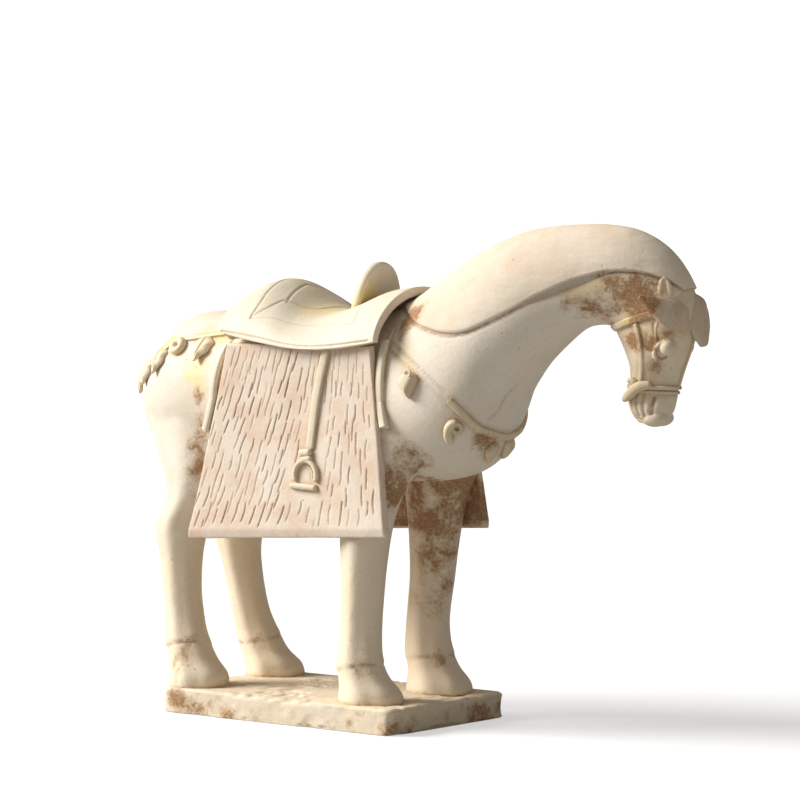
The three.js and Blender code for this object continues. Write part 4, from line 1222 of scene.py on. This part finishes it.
@dataclass
class Panel:
    """Stiff hanging panel with combed strokes, and the stirrup pressed on it."""

    side: Side
    seed: int
    # Places on the panel as shares from the back to the front and from the bottom to the top.
    LEATHER = ((0.71, 0.985), (0.65, 0.735), (0.62, 0.46))
    STIRRUP = (0.6, 0.43)
    STROKE_FIELD = 115.0  # height of the combed field, mm

    def strokes(self) -> tuple[list[Array], Array]:
        """Combed strokes in staggered rows.

        Returns:
            The strokes and their strengths.
        """
        rng = np.random.default_rng(self.seed)
        lines, strengths = [], []
        rows, columns = 11, 20
        for row in range(rows):
            for column in range(columns):
                u = (column + 0.5 * (row % 2) + rng.uniform(-0.22, 0.22) + 0.3) / columns
                v = 0.98 - 0.90 * (row + rng.uniform(-0.25, 0.25)) / (rows - 1)
                if not 0.02 < u < 0.97 or rng.uniform() < 0.08:
                    continue
                leather = np.interp(v, [0.43, 0.735, 1.0], [0.62, 0.65, 0.71])
                beside_leather = v > 0.43 and abs(u - leather) < 0.035
                beside_stirrup = abs(u - 0.6) < 0.09 and 0.23 < v < 0.48
                if beside_leather or beside_stirrup:
                    continue
                lean = math.radians(np.interp(u, [0, 0.5, 1], [9, 13, 2]) + rng.uniform(-5, 5))
                length = rng.uniform(7.0, 14.5) / self.STROKE_FIELD
                bow = rng.uniform(-0.006, 0.006)
                t = np.linspace(0, 1, 6)
                vs = v - length * t
                us = u - np.tan(lean) * length * t * self.STROKE_FIELD / PANEL_LENGTH \
                    + bow * np.sin(math.pi * t)
                keep = vs > 0.058
                if keep.sum() < 3:
                    continue
                lines.append(panel_point(us[keep], vs[keep], self.side))
                strengths.append(rng.uniform(0.45, 1.0))
        return lines, np.array(strengths)

    def build(self) -> list[bpy.types.Object]:
        """Builds the panel, its leather and the stirrup."""
        sign = self.side.value

        def face(u: Array, v: Array) -> Array:
            bevel = -1.9 * (1 - np.clip(v / 0.05, 0, 1)) ** 1.2
            return panel_point(u, v, self.side, bevel)

        sheet = Sheet(face, lambda p: np.tile([0.0, sign, 0.0], (len(p), 1)),
                      lambda u, v: np.full(len(u), PANEL_THICKNESS), PANEL_LENGTH, PANEL_HEIGHT, 1.3)
        mesh = sheet.mesh(400, 150, "panel")
        points = coordinates(mesh)
        waves = speckle(points, 45, seed=self.seed + 5) - 0.5
        set_coordinates(mesh, points + normals(mesh) * (waves * 0.7 * MM)[:, None])
        lines, strengths = self.strokes()
        carve(mesh, lines, width=0.40, depth=0.75, soil_and_shade=0.9, strengths=strengths)
        # Earth and painted shade on the face turned to the body, heavier towards the bottom.
        inner = (normals(mesh)[:, 1] * -sign > 0.5) * (0.4 + 0.6 * (1 - ease(points[:, 2] / MM, 110, 175)))
        set_mask(mesh, "earth", inner * 1.2)
        name = self.side.name.lower()
        return [finish_piece(f"panel_{name}", mesh, PANEL_CLAY), self.stirrup(name)]

    def bar(self, path: Array, width: float, raise_: float, sunk: float, **options: object) -> bpy.types.Mesh:
        """Bar of the stirrup along a path, of one width."""
        out = np.tile([0.0, self.side.value, 0.0], (len(path), 1))
        return strip(path, out, np.full(len(path), width), raise_, sunk, **options)

    def stirrup(self, name: str) -> bpy.types.Object:
        """Leather, buckle, bow and tread of one stirrup."""
        sign = self.side.value
        rows = smooth_rows(np.array(self.LEATHER), np.linspace(0, 2, 31))
        path = panel_point(rows[:, 0], rows[:, 1], self.side)
        parts = [self.bar(path, 5.6, 1.9, 1.5, rows=70, square=0.45)]
        top = panel_point(np.array([self.STIRRUP[0]]), np.array([self.STIRRUP[1]]), self.side)[0]

        def on(x: Array, z: Array, y: float = 1.2) -> Array:
            """Points over the panel near the stirrup, mm."""
            x, z = np.broadcast_arrays(np.asarray(x, float), z)
            return top + np.stack([x, np.full(x.shape, y * sign), z], -1) * MM

        a = math.pi * (0.5 + (np.linspace(0, 1, 33) - 0.5) * 1.3)
        bow = on(-8.4 * np.cos(a) + 0.4, 8.6 * (np.sin(a) - 1) - 3)
        parts.append(self.bar(bow, 3.0, 1.9, 3.0, rows=80, around=14, square=0.7))
        inner = on(-4.9 * np.cos(a), 5.6 * (np.sin(a) - 1) - 6.4, 0.2)
        parts.append(self.bar(inner, 1.3, 0.6, 1.6, rows=60, around=10, square=0.8))
        tread = on(np.linspace(-11.4, 9.4, 9), -18.6 - 0.5 * np.linspace(-1, 1, 9))
        parts.append(self.bar(tread, 3.9, 2.5, 3.0, rows=50, around=16, square=0.75))
        for x, z, wide, high in ((0, 1.6, 9.6, 4.4), (1.2, -2.2, 8.2, 4.0)):
            knot = on(np.linspace(-wide / 2, wide / 2, 5) + x, z + 0.5 * np.linspace(-1, 1, 5), 1.0)
            parts.append(self.bar(knot, high, 2.2, 2.4, rows=30, around=16, square=0.7))
        mesh = merged(parts, "stirrup")
        return finish_piece(f"stirrup_{name}", mesh, STIRRUP_CLAY)


@dataclass
class Saddle:
    """Saddle pad with its upright pommel, on the blanket."""

    # Lines on the pad's right half, as shares of its length and of its breadth; the left half mirrors them.
    SCRATCHED = (((0.258, 0.15), (0.454, 0.213), (0.638, 0.24), (0.76, 0.215), (0.846, 0.167)),
                 ((0.846, 0.167), (0.842, 0.236), (0.80, 0.343), (0.775, 0.43)),
                 ((0.258, 0.15), (0.281, 0.241), (0.273, 0.334), (0.25, 0.5)),
                 ((0.258, 0.15), (0.338, 0.234), (0.385, 0.317)),
                 ((0.40, 0.317), (0.369, 0.424), (0.345, 0.5)),
                 ((0.40, 0.317), (0.435, 0.345), (0.469, 0.358)),
                 ((0.469, 0.358), (0.527, 0.41), (0.535, 0.5)),
                 ((0.055, 0.035), (0.30, 0.045), (0.62, 0.045), (0.95, 0.03)))

    def build(self) -> list[bpy.types.Object]:
        """Builds the pad, the pommel and the blanket."""
        return [self.pad(), self.pommel(), self.blanket()]

    @staticmethod
    def pad() -> bpy.types.Object:
        """The pad, with the seat's outline and the border scratched in."""

        def thickness(u: Array, v: Array) -> Array:
            return 14 + (5 - 14) * ease(u, 0.62, 0.92)

        mesh = Sheet(pad_point, from_barrel, thickness, 130, 155, 1.5).mesh(260, 190, "pad")
        points = coordinates(mesh)
        waves = speckle(points, 40, seed=31) - 0.5
        set_coordinates(mesh, points + normals(mesh) * (waves * 0.6 * MM)[:, None])
        scratched = []
        for places in Saddle.SCRATCHED:
            along = smooth_rows(np.array(places), np.linspace(0, len(places) - 1, 6 * len(places)))
            scratched += [pad_point(along[:, 0], along[:, 1]), pad_point(along[:, 0], 1 - along[:, 1])]
        carve(mesh, scratched, width=0.55, depth=0.75, soil_and_shade=0.32)
        return finish_piece("saddle_pad", mesh, SADDLE_CLAY)

    @staticmethod
    def pommel() -> bpy.types.Object:
        """Upright front arch of the saddle."""
        t = np.linspace(0, 1, 25)[:, None]
        corners = np.array([[[-21, -8], [-22, 6], [-16, 26], [0, 26]],
                            [[0, 26], [16, 26], [22, 6], [21, -8]]], float)
        halves = [(1 - t) ** 3 * a + 3 * (1 - t) ** 2 * t * b + 3 * (1 - t) * t ** 2 * c + t ** 3 * d
                  for a, b, c, d in corners]
        outline = np.concatenate(halves + [np.linspace([21, -8], [-21, -8], 15)])
        run = np.concatenate([[0], np.cumsum(np.linalg.norm(np.diff(outline, axis=0), axis=1))])
        run /= run[-1]

        def place(s: Array, w: Array) -> Array:
            y, z = np.interp(s, run, outline[:, 0]), np.interp(s, run, outline[:, 1])
            turn = np.clip((w - 0.4) / 0.2, 0, 1) * math.pi
            inset = 1.6 * (1 - np.sin(turn))
            k = np.where(w < 0.4, w / 0.4, np.where(w > 0.6, (1 - w) / 0.4, 1.0))
            size = np.hypot(y, z - 9)
            k = k * (1 - inset / size)
            rim = 0.7 * ease(k * size, size * 0.72, size * 0.86)
            x = np.where(w < 0.5, 1, -1) * (2.3 + rim) * np.where((w < 0.4) | (w > 0.6), 1.0, 0) \
                + np.where((w >= 0.4) & (w <= 0.6), 3.0 * np.cos(turn), 0)
            y, z = y * k, 9 + (z - 9) * k
            lean = math.radians(8)
            foot = Figure.turned(37.0, 0.0, 235.0)
            return foot + np.stack([x * math.cos(lean) + z * math.sin(lean), y,
                                    z * math.cos(lean) - x * math.sin(lean)], -1) * MM

        mesh = tube(place, 160, 70, "pommel")
        return finish_piece("saddle_pommel", mesh, SADDLE_CLAY)

    @staticmethod
    def blanket() -> bpy.types.Object:
        """Blanket under the pad, with a raised border."""

        def thickness(u: Array, v: Array) -> Array:
            hanging = np.maximum(np.maximum(BLANKET_SKIRT - v, v - 1 + BLANKET_SKIRT), 0)
            under_pad = 4.0 + 5.6 * ease(np.minimum(v, 1 - v), BLANKET_SKIRT, BLANKET_SKIRT + 0.05)
            return np.where(hanging > 0, 4.0, under_pad)

        sheet = Sheet(blanket_point, from_barrel, thickness, BLANKET_LENGTH, 330, 1.2)
        parts = [sheet.mesh(200, 180, "cloth")]
        share = np.linspace(0.006, 0.30, 61)
        for u, width in ((0.973, 5.2), (0.027, 4.4)):
            for v in (share, 1 - share):
                path = blanket_point(np.full(61, u), v)
                out = unit(from_barrel(path) * np.array([0, 1, 0.25]))
                parts.append(strip(path, out, np.full(61, width), 2.2, 1.2, rows=130, around=18, square=0.5,
                                   blunt=0.1))
        mesh = merged(parts, "blanket")
        return finish_piece("blanket", mesh, SADDLE_CLAY)


# ---- harness ----

@dataclass
class Harness:
    """Bridle, breast strap and crupper with their pendants."""

    # Middles of the straps: ring and degrees.
    CRUPPER = ((5.1, 42.5), (4.64, 46), (4.19, 48.5), (3.5, 50.7), (2.95, 56), (2.2, 59), (1.3, 58), (0.5, 48))
    BREAST = ((10.4, -112), (10.67, -126), (10.94, -146), (11.14, -160), (11.2, -178), (11.14, -200),
              (10.94, -214), (10.67, -234), (10.3, -252), (9.73, -273), (9.35, -286), (8.9, -302))
    # Crupper leaves: ring, degrees, length and turn.
    LEAVES = ((4.62, 46, 19, -6), (2.95, 52, 18, 8), (2.2, 58, 15, 12), (1.25, 59, 13, 14))

    def build(self) -> list[bpy.types.Object]:
        """Builds all the harness."""
        return [self.breast(), self.crupper(), self.bridle()]

    def breast(self) -> bpy.types.Object:
        """Breast strap, broken off on the right, with its pendants."""
        parts = [skin_strip(self.BREAST, 4.4, 1.9, 150, square=0.6, blunt=0.15, around=22)]
        parts += [leaf(Spot(11.0, -168, 4), 16, 11, 3.4, 0), leaf(Spot(11.12, -192, -12), 15, 11, 3.6, 0),
                  leaf(Spot(9.42, -81.5, 10), 17.5, 13, 5.6, 0)]
        parts += [ring(Spot(10.32, -130), 4.0, 2.6), ring(Spot(9.50, -85), 2.6, 1.3, 4.6)]
        parts += [leaf(Spot(r, d), 14, 10) for r, d in ((10.6, -237), (10.05, -262), (9.5, -282))]
        spot = Spot(10.2, -131)
        a = np.radians(np.linspace(70, 238, 33))
        path = spot.place(4.4 * np.cos(a) + 0.6, 7.0 * np.sin(a) - 0.8, np.full(33, 0.8))
        out = np.tile(unit(spot.place(0, 0, 1.0)[None] - spot.place(0, 0, 0.0)[None])[0], (33, 1))
        widths = np.interp(np.linspace(0, 1, 33), [0, 0.3, 0.75, 1], [3.2, 5.2, 5.6, 3.8])
        parts.append(strip(path, out, widths, 3.4, 1.6, rows=60, around=18, square=0.8))
        mesh = merged(parts, "breast")
        return finish_piece("breast_strap", mesh, HARNESS_CLAY)

    def crupper(self) -> bpy.types.Object:
        """Crupper straps on both sides, with leaves and ring bosses."""
        parts = []
        for side in Side:
            sign = side.value
            parts.append(skin_strip([(r, sign * d) for r, d in self.CRUPPER], 3.6, 1.6, 80))
            for r, d, length, turn in self.LEAVES:
                parts.append(leaf(Spot(r, sign * d, -sign * turn), length + 2.5, 15.5, 2.9, 2.5))
            parts.append(ring(Spot(3.8, sign * 55.5), 6.2, 5.2, 1.4))
        mesh = merged(parts, "crupper")
        return finish_piece("crupper", mesh, CREAM_HARNESS)

    def bridle(self) -> bpy.types.Object:
        """Noseband, throat lash, cheek and nose straps and the bit's cheekpieces."""
        noseband = [(24.05, 5 + 35 * k) for k in range(11)]
        throat = [(19.5, 62), (19.2, 90), (18.7, 130), (18.1, 180), (18.7, 230), (19.2, 270), (19.5, 298)]
        parts = [skin_strip(noseband, 2.2, 1.5, 90),
                 skin_strip([(r + 0.32, d) for r, d in noseband], 1.8, 1.1, 90),
                 skin_strip(throat, 4.2, 1.8, 90), skin_strip([(20, 0), (22, 0), (24, 0)], 2.6, 0.9, 50)]
        for side in Side:
            sign = side.value
            parts.append(skin_strip([(19.3, sign * 107), (22, sign * 109), (23.9, sign * 111)], 3.2, 1.5, 50))
            parts.append(skin_strip([(19.5, sign * 66), (20.2, sign * 78), (21.0, sign * 80)], 1.5, 0.8, 30))
            cheekpiece = np.array([[211.0, 7, 181.0], [215, 12, 183.8], [221, 13.5, 188.5], [229, 12.5, 190]])
            rows = smooth_rows(cheekpiece, np.linspace(0, 3, 31))
            path = Figure.turned(rows[:, 0], sign * rows[:, 1], rows[:, 2])
            widths = smooth_rows(np.array([[3.0], [4.8], [5.8], [5.8], [4.0]]), np.linspace(0, 4, 31))[:, 0]
            out = np.tile([0.0, sign, 0.0], (31, 1))
            parts.append(strip(path, out, widths, 2.6, 3.0, rows=70, around=20, square=0.85))
            knob = Figure.turned(np.array([214.5, 217.0, 220.0]), sign * np.array([11.5, 12.5, 13.0]),
                                 np.array([191.5, 192.5, 190.5]))
            parts.append(strip(knob, out[:3], np.full(3, 3.6), 2.0, 2.0, rows=24, around=12, square=0.8))
        mesh = merged(parts, "bridle")
        return finish_piece("bridle", mesh, HARNESS_CLAY)


# ---- slab ----

@dataclass
class Slab:
    """Rectangular slab with worn, chipped edges."""

    length: float = 0.654 * FIGURE_HEIGHT
    width: float = 0.4 * FIGURE_HEIGHT
    corner: float = 5.0
    ahead: float = 1.0 + FRAME_SHIFT  # its middle, along X from the part's origin, mm
    # Chips: x, y and z from the slab's middle, radius and depth.
    CHIPS = ((-91, -52, 15, 9, 2.6), (-88, -56, 3, 8, 2.0), (-40, -56.4, 15.5, 5, 0.9),
             (10, -56.4, 15.6, 6, 0.8), (60, -56.4, 15.5, 5, 1.0), (92.2, -56, 9, 4, 1.1),
             (92.2, -50, 2, 6, 1.6), (93, 0, 15.6, 7, 0.9), (93, 40, 15.4, 8, 1.1), (92.5, 54, 6, 6, 1.2),
             (-91, 20, 15.5, 8, 1.1), (-20, 56.4, 15.6, 9, 1.0), (50, 56.4, 2, 8, 1.2),
             (-60, -56.4, 0.5, 9, 1.2), (30, -56.4, 0.5, 7, 0.9))

    def build(self) -> bpy.types.Object:
        """Builds the slab.

        Returns:
            The slab's piece.
        """
        hx, hy, r = self.length / 2, self.width / 2, self.corner
        turn = np.linspace(0, math.pi / 2, 7)
        corners = [(hx - r, hy - r, 0.0), (r - hx, hy - r, 0.5), (r - hx, r - hy, 1.0), (hx - r, r - hy, 1.5)]
        rounds = [np.stack([cx + r * np.cos(turn + q * math.pi), cy + r * np.sin(turn + q * math.pi)], 1)
                  for cx, cy, q in corners]
        outline = np.concatenate([*rounds, rounds[0][:1]])
        run = np.concatenate([[0], np.cumsum(np.linalg.norm(np.diff(outline, axis=0), axis=1))])
        run /= run[-1]

        def place(s: Array, w: Array) -> Array:
            x, y = np.interp(s, run, outline[:, 0]), np.interp(s, run, outline[:, 1])
            k = np.interp(w, [0, 0.5, 0.54, 0.8, 0.84, 1], [0, 0.975, 1, 1, 0.985, 0])
            z = np.interp(w, [0, 0.5, 0.52, 0.54, 0.8, 0.82, 0.84, 1], [16, 16, 15.5, 14.2, 1.4, 0.4, 0, 0])
            return np.stack([x * k + self.ahead, y * k, z], -1) * MM

        mesh = tube(place, 340, 78, "slab")
        points = coordinates(mesh)
        out = normals(mesh)
        z = points[:, 2] / MM
        rough = speckle(points, 70, seed=12) - 0.5
        fine = speckle(points, 420, seed=13) - 0.5
        edge = np.exp(-((z - 15.2) / 1.6) ** 2) + np.exp(-((z - 0.8) / 1.4) ** 2)
        side = 1 - np.abs(out[:, 2])
        top = (out[:, 2] > 0.5) * 1.0
        flaked = edge * ease(fine + rough, 0.05, 0.6) * 1.5
        move = rough * (0.9 * side + 0.25 * top) - 0.3 + fine * 0.35 * side - flaked
        move = np.where(out[:, 2] < -0.5, 0, np.minimum(move, 0.25 * top))
        points = points + out * (move * MM)[:, None]
        for cx, cy, cz, radius, deep in self.CHIPS:
            share = np.exp(-(np.linalg.norm(points / MM - [cx + self.ahead, cy, cz], axis=1) / radius) ** 2)
            push = unit(np.array([[cx, cy, (cz - 8) * 4.0]]))[0]
            points = points - push * (share * deep * MM)[:, None]
        points[:, 2] = np.maximum(points[:, 2], 0.0)
        set_coordinates(mesh, points)
        soil = 0.4 * ease(speckle(points, 200, seed=15), 0.6, 0.9) * side * (1 - ease(z, 9, 15))
        set_mask(mesh, "earth", soil + 0.12 * top)
        set_mask(mesh, "limb", 0.1 + 0.75 * top)
        return finish_piece("slab", mesh, SLAB_CLAY)


# ---- what lies against what ----

def paint_contact_dirt_and_shade(pieces: Sequence[bpy.types.Object], reach: float = 3.2) -> None:
    """Paints where the surface lies close to another piece: earth that has stayed there, and painted shade
    where the other piece shuts out the light.

    Args:
        pieces: the pieces of the figure.
        reach: how far from the other piece the earth and painted shade go, mm.
    """
    graph = bpy.context.evaluated_depsgraph_get()
    trees = {piece.name: BVHTree.FromObject(piece, graph) for piece in pieces}
    places = {piece.name: coordinates(piece.data) for piece in pieces}
    boxes = {name: (points.min(0) - reach * MM, points.max(0) + reach * MM) for name, points in places.items()}
    for piece in pieces:
        points, out = coordinates(piece.data), normals(piece.data)
        share = np.zeros(len(points))
        for name, tree in trees.items():
            if name == piece.name:
                continue
            low, high = boxes[name]
            near = np.flatnonzero(np.all((points > low) & (points < high), axis=1))
            for k in near:
                place, _, _, distance = tree.find_nearest(Vector(points[k]), reach * MM)
                if place is None:
                    continue
                facing = float(np.dot(np.array(place) - points[k], out[k])) / max(distance, 1e-9)
                share[k] = max(share[k], (1 - distance / (reach * MM)) * (1.0 if facing > -0.35 else 0.25))
        # Painted contact shade with dirt, stronger where the other piece lies in front of the surface.
        set_mask(piece.data, "contact_dirt_and_shade", share ** 1.4)


# ---- studio ----

@dataclass(frozen=True)
class Studio:
    """Pale floor, soft light and the camera."""

    camera_at: tuple[float, float, float] = (1.2259, -1.5234, 0.2633)
    aim: tuple[float, float, float] = (-0.0193, 0.0277, 0.1924)
    lens: float = 146.7
    key_from: tuple[float, float, float] = (-1.87, -1.19, 1.38)
    key: float = 5.05
    ambient: float = 0.25
    floor_glow: float = 0.52  # the camera's view of the floor only
    floor_side: float = 40.0
    backdrop: float = 1.25
    key_softness: float = math.radians(30)

    def floor(self) -> None:
        """Builds the floor."""
        bm = grid(lambda s, w: np.stack([s - 0.5, w - 0.5, np.zeros(len(s))], -1) * self.floor_side, 8, 8)
        bmesh.ops.recalc_face_normals(bm, faces=bm.faces)
        mesh = bpy.data.meshes.new("studio_floor")
        for face in bm.faces:
            face.smooth = True
        bm.to_mesh(mesh)
        bm.free()
        if np.mean(normals(mesh)[:, 2]) < 0:
            mesh.flip_normals()
        floor = bpy.data.objects.new("studio_floor", mesh)
        bpy.context.collection.objects.link(floor)
        material = bpy.data.materials.new("studio_white")
        material.use_nodes = True
        tree = material.node_tree
        shader = tree.nodes["Principled BSDF"]
        n = Nodes(tree)
        cloud = n.noise(n.add("ShaderNodeTexCoord").outputs["Object"], 3.0, 3.0, 0.5)
        seen = n.add("ShaderNodeLightPath").outputs["Is Camera Ray"]
        pale = n.mix(cloud, (0.40, 0.40, 0.39, 1), (0.46, 0.46, 0.45, 1))
        tree.links.new(n.mix(seen, pale, (0.50, 0.50, 0.50, 1)), shader.inputs["Base Color"])
        shader.inputs["Emission Color"].default_value = (1.0, 1.0, 1.0, 1)
        tree.links.new(n.maths("MULTIPLY", seen, self.floor_glow), shader.inputs["Emission Strength"])
        shader.inputs["Roughness"].default_value = 0.9
        mesh.materials.append(material)

    def light(self) -> None:
        """Soft key from the upper left in a pale room."""
        world = bpy.data.worlds.new("studio")
        world.use_nodes = True
        n = Nodes(world.node_tree)
        background = world.node_tree.nodes["Background"]
        background.inputs["Color"].default_value = (1.0, 0.965, 0.915, 1)
        seen = n.add("ShaderNodeLightPath").outputs["Is Camera Ray"]
        strength = n.maths("ADD", self.ambient, n.maths("MULTIPLY", seen, self.backdrop - self.ambient))
        world.node_tree.links.new(strength, background.inputs["Strength"])
        bpy.context.scene.world = world
        bpy.context.scene.view_settings.view_transform = "Standard"
        lamp = bpy.data.lights.new("key", "SUN")
        lamp.energy = self.key
        lamp.angle = self.key_softness
        lamp.color = (1.0, 0.985, 0.955)
        holder = bpy.data.objects.new("key", lamp)
        holder.location = self.key_from
        holder.rotation_euler = (-Vector(self.key_from)).to_track_quat("-Z", "Y").to_euler()
        bpy.context.collection.objects.link(holder)

    def camera(self) -> None:
        """Puts the camera where the photograph was taken from."""
        lens = bpy.data.cameras.new("camera")
        lens.lens = self.lens
        lens.sensor_width = 36.0
        lens.clip_start = 0.05
        holder = bpy.data.objects.new("camera", lens)
        holder.location = self.camera_at
        holder.rotation_euler = (Vector(self.aim) - Vector(self.camera_at)).to_track_quat("-Z", "Y").to_euler()
        bpy.context.collection.objects.link(holder)
        bpy.context.scene.camera = holder


def main() -> None:
    """Builds the figure and the studio."""
    logging.basicConfig(level=logging.INFO, format="%(message)s")
    pieces: list[bpy.types.Object] = [Body().build()]
    pieces += Head().build()
    pieces.append(Mane().build())
    pieces += Saddle().build()
    for side, seed in ((Side.RIGHT, 3), (Side.LEFT, 8)):
        pieces += Panel(side, seed).build()
    pieces += Harness().build()
    pieces.append(Slab().build())
    paint_contact_dirt_and_shade(pieces)
    studio = Studio()
    studio.floor()
    studio.light()
    studio.camera()
    total = sum(len(piece.data.polygons) for piece in pieces)
    LOG.info("%d pieces, %d faces", len(pieces), total)


if __name__ == "__main__":
    main()
